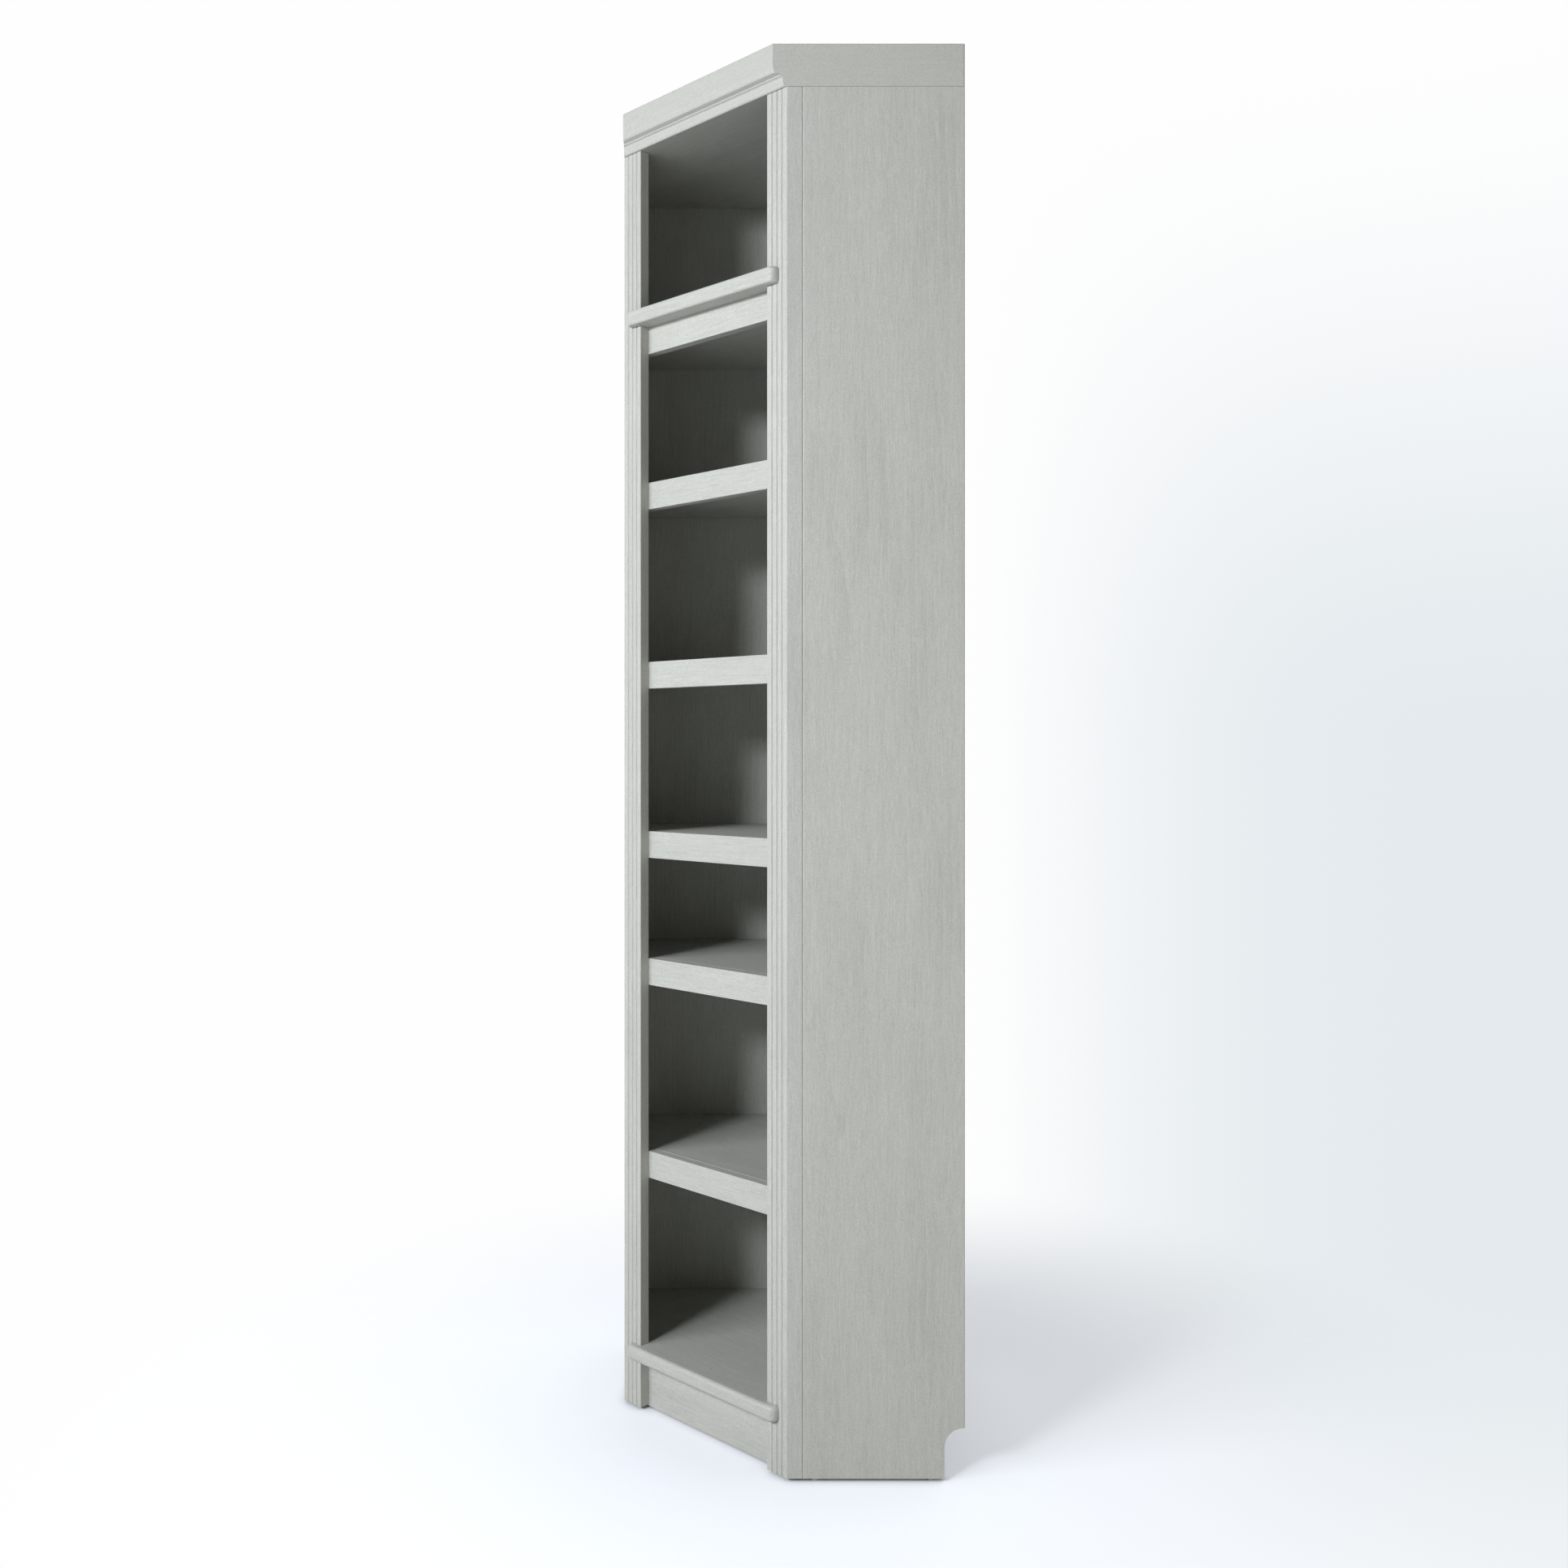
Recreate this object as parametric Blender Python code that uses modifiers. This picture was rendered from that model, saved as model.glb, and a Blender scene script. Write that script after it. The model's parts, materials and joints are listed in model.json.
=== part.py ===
"""Corner shelf: a tall painted bookcase that stands in the corner of a room.

Metres, +Z up, front facing -Y, origin on the floor under the middle of the bounding box.
Every board is drawn in plan and given a bottom and a top. Grooves, holes and the
baseboard notch are cut with Booleans. Pins and glides are turned with Screw.
"""
import math

import bmesh
import bpy
from mathutils import Matrix

# Overall sizes
HEIGHT = 2.1336
WALL_RUN = 0.5334
FRONT_WIDTH = 0.381
FLOOR_GAP = 0.0049
CROWN_HEIGHT = 0.064

# Stock thicknesses
PANEL_THICK = 0.019
STILE_THICK = 0.017
BACK_THICK = 0.012
SHELF_THICK = 0.019
DECK_THICK = 0.024
TOP_THICK = 0.019
FIXED_THICK = 0.0322
LIP_THICK = 0.0165
KICK_THICK = 0.0165

# Clearances
GAP = 0.0003
SHELF_EDGE_CLEARANCE = 0.002
SHELF_FRONT_CLEARANCE = 0.0005
CUT_OVERRUN = 0.005

# Front stiles
STILE_WIDTH = 0.042
FLUTE_COUNT = 3
FLUTE_PITCH = 0.0105
FLUTE_WIDTH = 0.003
FLUTE_DEPTH = 0.002
JOINT_CHAMFER = 0.0012

# Back panels and the housings in the side panels
BACK_INSET = 0.019
HOUSING_DEPTH = 0.006
BACK_GROOVE_DEPTH = 0.007
GROOVE_RUNOUT = 0.001

# Baseboard notch in the side panels
NOTCH_WIDTH = 0.0304
NOTCH_TOP = 0.0798
NOTCH_RADIUS = 0.029
NOTCH_STEPS = 8

# Levels of the boards: the deck's top from the floor, the fixed shelf's top from the top panel,
# and the top of each adjustable shelf, lowest first, from the fixed shelf's top
DECK_TOP = 0.107
TOP_BAY_HEIGHT = 0.2631
SHELF_DROPS = (1.3832, 1.065, 0.8553, 0.5759, 0.2802)

# Shelf lips and nosings
LIP_HEIGHT = 0.044
NOSING_THICK = 0.0241
NOSING_PROJECTION = 0.013
NOSING_END_INSET = 0.017
NOSING_CORNER = 0.0126
NOSING_CORNER_STEPS = 6
FIXED_NOSING_SOFTNESS = 0.003
DECK_NOSING_SOFTNESS = 0.007
NOSING_SOFT_STEPS = 3
NOSING_SOFT_PROFILE = 0.5

# Crown moulding profile, measured down from the top and out from the stile face
FASCIA_PROJECTION = 0.015
FASCIA_DROP = 0.0336
OVOLO_DROP = 0.0446
OVOLO_PROJECTION = 0.0106
BEAD_DROP = 0.0478
BEAD_PROJECTION = 0.0065
BEAD_RADIUS = 0.00175
QUIRK_PROJECTION = 0.0026
BAND_DROP = 0.0504
BAND_PROJECTION = 0.0036
COVE_DROP = 0.0581
PROFILE_STEPS = 5
RETURN_RABBET = 0.009

# Rear leg under the deck
LEG_SIZE = 0.038
LEG_INSET = 0.033

# Glides
GLIDE_RADIUS = 0.007
GLIDE_FOOT_RADIUS = 0.0055
GLIDE_NAIL_RADIUS = 0.0012
GLIDE_NAIL_LENGTH = 0.012
GLIDE_HOLE_CLEARANCE = 0.0003
GLIDE_FRONT_SETBACK = 0.0413
GLIDE_FROM_NOTCH = 0.0196
GLIDE_STEPS = 16

# Shelf pins
PIN_PEG_RADIUS = 0.0025
PIN_PEG_LENGTH = 0.009
PIN_COLLAR_RADIUS = 0.0045
PIN_COLLAR_THICK = 0.0012
PIN_STUB_RADIUS = 0.003
PIN_STUB_LENGTH = 0.011
PIN_TIP_CHAMFER = 0.0006
PIN_HOLE_CLEARANCE = 0.0003
PIN_HOLE_SPARE_DEPTH = 0.0006
PIN_STEPS = 12
SIDE_PIN_SETBACK = 0.060
BACK_PIN_FROM_CORNER = 0.160
HOLE_PITCH = 0.032
HOLES_EACH_WAY = 1

# Finishes
PAINT_COLOUR = (0.68, 0.70, 0.69, 1.0)
PAINT_ROUGHNESS = 0.5
STEEL_COLOUR = (0.56, 0.57, 0.58, 1.0)
STEEL_ROUGHNESS = 0.3
PLASTIC_COLOUR = (0.55, 0.55, 0.53, 1.0)
PLASTIC_ROUGHNESS = 0.45

# Values that follow from the ones above
ROOT2 = math.sqrt(2.0)
RIGHT_ANGLE = math.pi / 2
SIDE_RUN = WALL_RUN - FRONT_WIDTH / ROOT2
WALL_CORNER = (WALL_RUN + SIDE_RUN) / ROOT2
REAR_MOST = WALL_CORNER - BACK_INSET * ROOT2
CENTRE_SHIFT = (REAR_MOST - FASCIA_PROJECTION) / 2
BACK_INNER = BACK_INSET + BACK_THICK
SIDE_INNER = WALL_RUN - PANEL_THICK
CASE_TOP = HEIGHT - CROWN_HEIGHT
FIXED_TOP = CASE_TOP - TOP_BAY_HEIGHT
SHELF_TOPS = [FIXED_TOP - drop for drop in SHELF_DROPS]
BEHIND_STILE = STILE_THICK + GAP
LEFT = -1
RIGHT = 1
SIDE_NAMES = {LEFT: "left", RIGHT: "right"}

for old in list(bpy.data.objects):
    bpy.data.objects.remove(old, do_unlink=True)

PARTS = bpy.data.collections.new("corner_shelf")
CUTTERS = bpy.data.collections.new("cutters")
bpy.context.scene.collection.children.link(PARTS)
bpy.context.scene.collection.children.link(CUTTERS)


def make_material(name, colour, roughness, metallic):
    """One Principled material."""
    material = bpy.data.materials.new(name)
    material.use_nodes = True
    shader = material.node_tree.nodes["Principled BSDF"]
    shader.inputs["Base Color"].default_value = colour
    shader.inputs["Roughness"].default_value = roughness
    shader.inputs["Metallic"].default_value = metallic
    return material


def painted(part):
    """The light grey paint, one copy for each board."""
    part.data.materials.append(make_material(part.name + "_paint", PAINT_COLOUR, PAINT_ROUGHNESS, 0.0))
    return part


def plan(side, along, across):
    """Plan point from its distances to the room's corner.

    For the right half, along runs on the right wall and across on the left wall.
    The left half is the mirror image.
    """
    x = side * (along - across) / ROOT2
    y = WALL_CORNER - (along + across) / ROOT2 - CENTRE_SHIFT
    return (x, y)


def across_at(along, behind):
    """Distance from the other wall where a line reaches a depth behind the stile face."""
    return (WALL_CORNER - behind) * ROOT2 - along


def front_point(x, behind):
    """Plan point from its distance to the middle line and its depth behind the stile face."""
    return (x, behind - CENTRE_SHIFT)


def wall_angle(side):
    """Heading of the wall on one side, from the corner outwards."""
    return -math.pi / 4 if side == RIGHT else -3 * math.pi / 4


def solid_from_curve(curve_object, collection):
    """Turn a filled outline into one closed mesh with flat faces."""
    bpy.context.view_layer.update()
    graph = bpy.context.evaluated_depsgraph_get()
    mesh = bpy.data.meshes.new_from_object(curve_object.evaluated_get(graph))
    solid = bmesh.new()
    solid.from_mesh(mesh)
    bmesh.ops.remove_doubles(solid, verts=solid.verts, dist=1e-6)
    bmesh.ops.dissolve_limit(solid, angle_limit=math.radians(0.05), verts=solid.verts, edges=solid.edges)
    bmesh.ops.recalc_face_normals(solid, faces=solid.faces)
    solid.to_mesh(mesh)
    solid.free()
    name = curve_object.name
    place = curve_object.matrix_world.copy()
    bpy.data.objects.remove(curve_object, do_unlink=True)
    part = bpy.data.objects.new(name, mesh)
    part.matrix_world = place
    mesh.name = name
    collection.objects.link(part)
    return part


def outline_curve(name, outline, thickness):
    """A filled flat outline with a thickness, centred on its own plane."""
    curve = bpy.data.curves.new(name, "CURVE")
    curve.dimensions = "2D"
    curve.fill_mode = "BOTH"
    curve.extrude = thickness / 2
    spline = curve.splines.new("POLY")
    spline.points.add(len(outline) - 1)
    for point, (first, second) in zip(spline.points, outline):
        point.co = (first, second, 0.0, 1.0)
    spline.use_cyclic_u = True
    return bpy.data.objects.new(name, curve)


def slab(name, outline, low, high, collection=PARTS):
    """A board with a plan outline between two heights."""
    board = outline_curve(name, outline, high - low)
    board.location.z = (low + high) / 2
    collection.objects.link(board)
    return solid_from_curve(board, collection)


def upright_slab(name, outline, thickness, place, heading, collection=PARTS):
    """A profile drawn with its second axis up, given a thickness across its heading."""
    board = outline_curve(name, outline, thickness)
    board.location = place
    board.rotation_euler = (RIGHT_ANGLE, 0.0, heading)
    collection.objects.link(board)
    return solid_from_curve(board, collection)


def hide_cutter(cutter):
    cutter.hide_render = True
    cutter.display_type = "WIRE"
    return cutter


def cut(part, cutter, operation="DIFFERENCE"):
    """Boolean one part with a cutter that stays out of the picture."""
    hide_cutter(cutter)
    modifier = part.modifiers.new(cutter.name, "BOOLEAN")
    modifier.operation = operation
    modifier.solver = "EXACT"
    modifier.object = cutter
    return part


def drilled(name, radius, length, steps, places):
    """One cutter holding a cylinder at each place, a matrix whose Z is the bore's axis."""
    mesh = bpy.data.meshes.new(name)
    bores = bmesh.new()
    for place in places:
        bmesh.ops.create_cone(
            bores, cap_ends=True, segments=steps, radius1=radius, radius2=radius, depth=length, matrix=place
        )
    bores.to_mesh(mesh)
    bores.free()
    cutter = bpy.data.objects.new(name, mesh)
    CUTTERS.objects.link(cutter)
    return cutter


def turned(name, profile, steps):
    """A turned piece: the profile runs from the top to the bottom of its outer side."""
    mesh = bpy.data.meshes.new(name)
    edges = [(index, index + 1) for index in range(len(profile) - 1)]
    mesh.from_pydata([(radius, 0.0, height) for radius, height in profile], edges, [])
    part = bpy.data.objects.new(name, mesh)
    PARTS.objects.link(part)
    screw = part.modifiers.new("turning", "SCREW")
    screw.axis = "Z"
    screw.steps = steps
    screw.render_steps = steps
    screw.use_merge_vertices = True
    screw.merge_threshold = 1e-5
    screw.use_smooth_shade = False
    return part


def arc(centre, radii, start, end, steps):
    """Points on an elliptical arc between two angles."""
    points = []
    for index in range(steps + 1):
        angle = start + (end - start) * index / steps
        points.append((centre[0] + radii[0] * math.cos(angle), centre[1] + radii[1] * math.sin(angle)))
    return points


def shelf_outline(front, edge, rear):
    """Five-sided board: its front depth, and its distance from side panels and backs."""
    reach = SIDE_INNER - edge
    back = BACK_INNER + rear
    return [
        plan(RIGHT, back, back),
        plan(RIGHT, reach, back),
        plan(RIGHT, reach, across_at(reach, front)),
        plan(LEFT, reach, across_at(reach, front)),
        plan(LEFT, reach, back),
    ]


def rail_outline(front, thickness, edge):
    """Board across the front between the side panels, its ends cut to their angle."""
    reach = SIDE_INNER - edge
    rear = front + thickness
    return [
        plan(RIGHT, reach, across_at(reach, front)),
        plan(LEFT, reach, across_at(reach, front)),
        plan(LEFT, reach, across_at(reach, rear)),
        plan(RIGHT, reach, across_at(reach, rear)),
    ]


def strip_outline(side, inner, outer, rear, front):
    """Strip of a side panel between two distances from the corner and two from the wall."""
    return [
        plan(side, inner, rear),
        plan(side, outer, rear),
        plan(side, outer, front),
        plan(side, inner, front),
    ]


def pin_places(side, level):
    """The two pins on one side that carry a shelf with its underside at a level."""
    height = level - GAP - PIN_STUB_RADIUS
    side_x, side_y = plan(side, SIDE_INNER, SIDE_RUN - SIDE_PIN_SETBACK)
    back_x, back_y = plan(side, BACK_PIN_FROM_CORNER, BACK_INNER)
    return {
        "side": ((side_x, side_y, height), wall_angle(side) + math.pi),
        "back": ((back_x, back_y, height), wall_angle(-side)),
    }


def bore_matrices(side, which):
    """Bores for one pin line: the pin's own hole and the spare ones above and below."""
    depth = PIN_PEG_LENGTH + PIN_HOLE_SPARE_DEPTH
    middle = Matrix.Translation((0.0, 0.0, (CUT_OVERRUN - depth) / 2))
    turn = Matrix.Rotation(RIGHT_ANGLE, 4, "Y")
    matrices = []
    for top in SHELF_TOPS:
        place, heading = pin_places(side, top - SHELF_THICK)[which]
        for step in range(-HOLES_EACH_WAY, HOLES_EACH_WAY + 1):
            lift = Matrix.Translation((place[0], place[1], place[2] + step * HOLE_PITCH))
            matrices.append(lift @ Matrix.Rotation(heading, 4, "Z") @ turn @ middle)
    return matrices


def pin_bores(side, which):
    """The cutter for one line of shelf pin holes."""
    name = SIDE_NAMES[side] + "_" + which + "_pin_bores"
    radius = PIN_PEG_RADIUS + PIN_HOLE_CLEARANCE
    length = PIN_PEG_LENGTH + PIN_HOLE_SPARE_DEPTH + CUT_OVERRUN
    return drilled(name, radius, length, PIN_STEPS, bore_matrices(side, which))


def glide_bores(name, places):
    """The cutter for the glides' nail holes."""
    length = GLIDE_NAIL_LENGTH + PIN_HOLE_SPARE_DEPTH + CUT_OVERRUN
    height = FLOOR_GAP - CUT_OVERRUN + length / 2
    matrices = [Matrix.Translation((x, y, height)) for x, y in places]
    return drilled(name, GLIDE_NAIL_RADIUS + GLIDE_HOLE_CLEARANCE, length, PIN_STEPS, matrices)


def side_glide_places(side):
    """Plan points of the two glides under a side panel."""
    middle = WALL_RUN - PANEL_THICK / 2
    front = plan(side, middle, SIDE_RUN - GLIDE_FRONT_SETBACK)
    rear = plan(side, middle, NOTCH_WIDTH + GLIDE_FROM_NOTCH)
    return [front, rear]


def make_side_panel(side):
    """Side panel with its back groove, two housings, pin holes and baseboard notch."""
    name = SIDE_NAMES[side] + "_side_panel"
    outer_front = across_at(WALL_RUN, BEHIND_STILE)
    chamfer = JOINT_CHAMFER
    outline = [
        plan(side, SIDE_INNER, 0.0),
        plan(side, WALL_RUN, 0.0),
        plan(side, WALL_RUN, outer_front - chamfer),
        plan(side, WALL_RUN - chamfer, outer_front + chamfer),
        plan(side, SIDE_INNER, across_at(SIDE_INNER, BEHIND_STILE)),
    ]
    panel = painted(slab(name, outline, FLOOR_GAP, CASE_TOP - GAP))
    open_side = SIDE_INNER - CUT_OVERRUN
    housed = SIDE_INNER + HOUSING_DEPTH
    grooved = SIDE_INNER + BACK_GROOVE_DEPTH
    groove = strip_outline(side, open_side, grooved, BACK_INSET - GAP, BACK_INNER + GAP)
    back_low = DECK_TOP - DECK_THICK - GROOVE_RUNOUT
    cut(panel, slab(name + "_back_groove", groove, back_low, HEIGHT, CUTTERS))
    housing_rear = BACK_INSET + BACK_THICK / 2
    housing = strip_outline(side, open_side, housed, housing_rear, SIDE_RUN + CUT_OVERRUN)
    for label, top, thick in (("deck", DECK_TOP, DECK_THICK), ("fixed_shelf", FIXED_TOP, FIXED_THICK)):
        cutter = slab(name + "_" + label + "_housing", housing, top - thick - GAP, top + GAP, CUTTERS)
        cut(panel, cutter)
    shoulder = NOTCH_TOP - NOTCH_RADIUS
    notch = [(-CUT_OVERRUN, -CUT_OVERRUN), (NOTCH_WIDTH, -CUT_OVERRUN)]
    notch_centre = (NOTCH_WIDTH - NOTCH_RADIUS, shoulder)
    notch += arc(notch_centre, (NOTCH_RADIUS, NOTCH_RADIUS), 0.0, RIGHT_ANGLE, NOTCH_STEPS)
    notch.append((-CUT_OVERRUN, NOTCH_TOP))
    foot_x, foot_y = plan(side, WALL_RUN - PANEL_THICK / 2, 0.0)
    width = PANEL_THICK + 2 * CUT_OVERRUN
    place = (foot_x, foot_y, 0.0)
    cut(panel, upright_slab(name + "_notch", notch, width, place, wall_angle(-side), CUTTERS))
    cut(panel, pin_bores(side, "side"))
    cut(panel, glide_bores(name + "_nail_bores", side_glide_places(side)))
    return panel


def make_stile(side):
    """Front stile: a board with three V flutes and its outer edge cut flush with the side."""
    edge = FRONT_WIDTH / 2
    outline = [front_point(side * edge, 0.0)]
    for index in range(1, FLUTE_COUNT + 1):
        middle = edge - index * FLUTE_PITCH
        outline.append(front_point(side * (middle + FLUTE_WIDTH / 2), 0.0))
        outline.append(front_point(side * middle, FLUTE_DEPTH))
        outline.append(front_point(side * (middle - FLUTE_WIDTH / 2), 0.0))
    outline.append(front_point(side * (edge - STILE_WIDTH), 0.0))
    outline.append(front_point(side * (edge - STILE_WIDTH), STILE_THICK))
    outline.append(front_point(side * (edge + STILE_THICK - 2 * JOINT_CHAMFER), STILE_THICK))
    outline.append(front_point(side * (edge + STILE_THICK - JOINT_CHAMFER), STILE_THICK - JOINT_CHAMFER))
    return painted(slab(SIDE_NAMES[side] + "_stile", outline, FLOOR_GAP, CASE_TOP - GAP))


def make_back(side):
    """Back panel, housed in its side panel and mitred to the other back in the corner."""
    end = SIDE_INNER + BACK_GROOVE_DEPTH - GAP
    mitre = GAP / ROOT2
    outline = [
        plan(side, BACK_INSET + mitre, BACK_INSET),
        plan(side, end, BACK_INSET),
        plan(side, end, BACK_INNER),
        plan(side, BACK_INNER + mitre, BACK_INNER),
    ]
    low = DECK_TOP - DECK_THICK
    panel = painted(slab(SIDE_NAMES[side] + "_back_panel", outline, low, CASE_TOP - GAP))
    return cut(panel, pin_bores(side, "back"))


def make_nosing(name, top, softness):
    """Rounded nosing in front of the stiles, with a tongue between them."""
    end = FRONT_WIDTH / 2 - NOSING_END_INSET
    tongue = FRONT_WIDTH / 2 - STILE_WIDTH - GAP
    outline = []
    for side, start, stop in ((LEFT, math.pi, 3 * RIGHT_ANGLE), (RIGHT, 3 * RIGHT_ANGLE, 2 * math.pi)):
        centre = front_point(side * (end - NOSING_CORNER), NOSING_CORNER - NOSING_PROJECTION)
        outline += arc(centre, (NOSING_CORNER, NOSING_CORNER), start, stop, NOSING_CORNER_STEPS)
    outline += [
        front_point(end, -GAP),
        front_point(tongue, -GAP),
        front_point(tongue, STILE_THICK),
        front_point(-tongue, STILE_THICK),
        front_point(-tongue, -GAP),
        front_point(-end, -GAP),
    ]
    nosing = painted(slab(name, outline, top - NOSING_THICK, top))
    shape = bmesh.new()
    shape.from_mesh(nosing.data)
    behind = front_point(0.0, -GAP)[1]
    soft = []
    for edge in shape.edges:
        first, second = edge.verts
        level = abs(first.co.z - second.co.z) < GAP
        ahead = (first.co.y + second.co.y) / 2 < behind - GAP / 10
        if level and ahead:
            soft.append(edge)
    bmesh.ops.bevel(
        shape,
        geom=soft,
        offset=softness,
        segments=NOSING_SOFT_STEPS,
        profile=NOSING_SOFT_PROFILE,
        affect="EDGES",
        clamp_overlap=True,
    )
    bmesh.ops.remove_doubles(shape, verts=shape.verts, dist=1e-6)
    shape.to_mesh(nosing.data)
    shape.free()
    return nosing


def make_crown():
    """Crown moulding: its profile run across the front, its ends cut flush with the sides."""
    profile = [(-FASCIA_PROJECTION, HEIGHT)]
    ovolo = (FASCIA_PROJECTION - OVOLO_PROJECTION, OVOLO_DROP - FASCIA_DROP)
    profile += arc((-OVOLO_PROJECTION, HEIGHT - FASCIA_DROP), ovolo, math.pi, 3 * RIGHT_ANGLE, PROFILE_STEPS)
    profile.append((-QUIRK_PROJECTION, HEIGHT - OVOLO_DROP))
    bead = (-BEAD_PROJECTION, HEIGHT - BEAD_DROP)
    profile.append((-QUIRK_PROJECTION, bead[1] + BEAD_RADIUS))
    profile += arc(bead, (BEAD_RADIUS, BEAD_RADIUS), RIGHT_ANGLE, 3 * RIGHT_ANGLE, PROFILE_STEPS)
    profile.append((-QUIRK_PROJECTION, bead[1] - BEAD_RADIUS))
    profile.append((-QUIRK_PROJECTION, HEIGHT - BAND_DROP))
    profile.append((-BAND_PROJECTION, HEIGHT - BAND_DROP))
    cove = (BAND_PROJECTION, CROWN_HEIGHT - COVE_DROP)
    profile += arc((-BAND_PROJECTION, CASE_TOP), cove, RIGHT_ANGLE, 0.0, PROFILE_STEPS)
    profile += [(STILE_THICK, CASE_TOP), (STILE_THICK, HEIGHT)]
    place = (0.0, -CENTRE_SHIFT, 0.0)
    crown = painted(upright_slab("crown_moulding", profile, 2 * FRONT_WIDTH, place, RIGHT_ANGLE))
    wide = FRONT_WIDTH / 2
    ahead = FASCIA_PROJECTION + CUT_OVERRUN
    behind = STILE_THICK + CUT_OVERRUN
    trim = [
        front_point(-wide + ahead, -ahead),
        front_point(wide - ahead, -ahead),
        front_point(wide + behind, behind),
        front_point(-wide - behind, behind),
    ]
    trimmer = slab("crown_trim", trim, CASE_TOP - CUT_OVERRUN, HEIGHT + CUT_OVERRUN, CUTTERS)
    return cut(crown, trimmer, "INTERSECT")


def make_crown_return(side):
    """Crown return flush over a side panel, rabbeted for the top panel's edge."""
    outline = [
        plan(side, SIDE_INNER, 0.0),
        plan(side, WALL_RUN, 0.0),
        plan(side, WALL_RUN, across_at(WALL_RUN, BEHIND_STILE)),
        plan(side, SIDE_INNER, across_at(SIDE_INNER, BEHIND_STILE)),
    ]
    name = SIDE_NAMES[side] + "_crown_return"
    board = painted(slab(name, outline, CASE_TOP, HEIGHT))
    reach = SIDE_INNER + RETURN_RABBET
    rabbet = strip_outline(side, SIDE_INNER - CUT_OVERRUN, reach, -CUT_OVERRUN, SIDE_RUN + CUT_OVERRUN)
    high = CASE_TOP + TOP_THICK + GAP
    return cut(board, slab(name + "_rabbet", rabbet, CASE_TOP - CUT_OVERRUN, high, CUTTERS))


def make_fixed_shelf():
    """Fixed shelf housed in the side panels, rabbeted in front over its lip."""
    housed = GAP - HOUSING_DEPTH
    outline = shelf_outline(BEHIND_STILE, housed, GAP)
    board = painted(slab("fixed_shelf", outline, FIXED_TOP - FIXED_THICK, FIXED_TOP))
    behind = BEHIND_STILE + LIP_THICK + GAP
    wide = WALL_RUN
    rabbet = [
        front_point(-wide, -CUT_OVERRUN),
        front_point(wide, -CUT_OVERRUN),
        front_point(wide, behind),
        front_point(-wide, behind),
    ]
    low = FIXED_TOP - FIXED_THICK - CUT_OVERRUN
    return cut(board, slab("fixed_shelf_rabbet", rabbet, low, FIXED_TOP - NOSING_THICK, CUTTERS))


def make_pin(name, place, heading):
    """Stepped shelf pin: a peg in the hole, a collar on the panel, a stub under the shelf."""
    collar_high = GAP + PIN_COLLAR_THICK
    profile = [
        (0.0, PIN_STUB_LENGTH),
        (PIN_STUB_RADIUS - PIN_TIP_CHAMFER, PIN_STUB_LENGTH),
        (PIN_STUB_RADIUS, PIN_STUB_LENGTH - PIN_TIP_CHAMFER),
        (PIN_STUB_RADIUS, collar_high),
        (PIN_COLLAR_RADIUS, collar_high),
        (PIN_COLLAR_RADIUS, GAP),
        (PIN_PEG_RADIUS, GAP),
        (PIN_PEG_RADIUS, -PIN_PEG_LENGTH),
        (0.0, -PIN_PEG_LENGTH),
    ]
    pin = turned(name, profile, PIN_STEPS)
    pin.location = place
    pin.rotation_euler = (0.0, RIGHT_ANGLE, heading)
    pin.data.materials.append(make_material(name + "_steel", STEEL_COLOUR, STEEL_ROUGHNESS, 1.0))
    return pin


def make_glide(name, place):
    """Nail-on glide: a tapered foot under the board and its nail."""
    disc = FLOOR_GAP - GAP
    profile = [
        (0.0, FLOOR_GAP + GLIDE_NAIL_LENGTH),
        (GLIDE_NAIL_RADIUS, FLOOR_GAP + GLIDE_NAIL_LENGTH),
        (GLIDE_NAIL_RADIUS, disc),
        (GLIDE_RADIUS, disc),
        (GLIDE_FOOT_RADIUS, 0.0),
        (0.0, 0.0),
    ]
    glide = turned(name, profile, GLIDE_STEPS)
    glide.location = (place[0], place[1], 0.0)
    glide.data.materials.append(make_material(name + "_plastic", PLASTIC_COLOUR, PLASTIC_ROUGHNESS, 0.0))
    return glide


# Case
for half in (LEFT, RIGHT):
    make_side_panel(half)
    make_stile(half)
    make_crown_return(half)
    for label, spot in zip(("front", "rear"), side_glide_places(half)):
        make_glide(SIDE_NAMES[half] + "_" + label + "_glide", spot)
    make_back(half)
make_crown()

# Top panel, on the edges of the side panels and backs
top_outline = shelf_outline(BEHIND_STILE, GAP - RETURN_RABBET, -BACK_THICK)
painted(slab("top_panel", top_outline, CASE_TOP, CASE_TOP + TOP_THICK))

# Base
housed_edge = GAP - HOUSING_DEPTH
painted(slab("deck", shelf_outline(BEHIND_STILE, housed_edge, GAP), DECK_TOP - DECK_THICK, DECK_TOP))
make_nosing("deck_nosing", DECK_TOP, DECK_NOSING_SOFTNESS)
under_deck = DECK_TOP - DECK_THICK - GAP
painted(slab("kick_board", rail_outline(BEHIND_STILE, KICK_THICK, GAP), FLOOR_GAP, under_deck))
leg_far = LEG_INSET + LEG_SIZE
leg_middle = LEG_INSET + LEG_SIZE / 2
leg_spot = plan(RIGHT, leg_middle, leg_middle)
leg_outline = strip_outline(RIGHT, LEG_INSET, leg_far, LEG_INSET, leg_far)
leg = painted(slab("rear_leg", leg_outline, FLOOR_GAP, under_deck))
cut(leg, glide_bores("rear_leg_nail_bore", [leg_spot]))
make_glide("rear_leg_glide", leg_spot)

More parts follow.
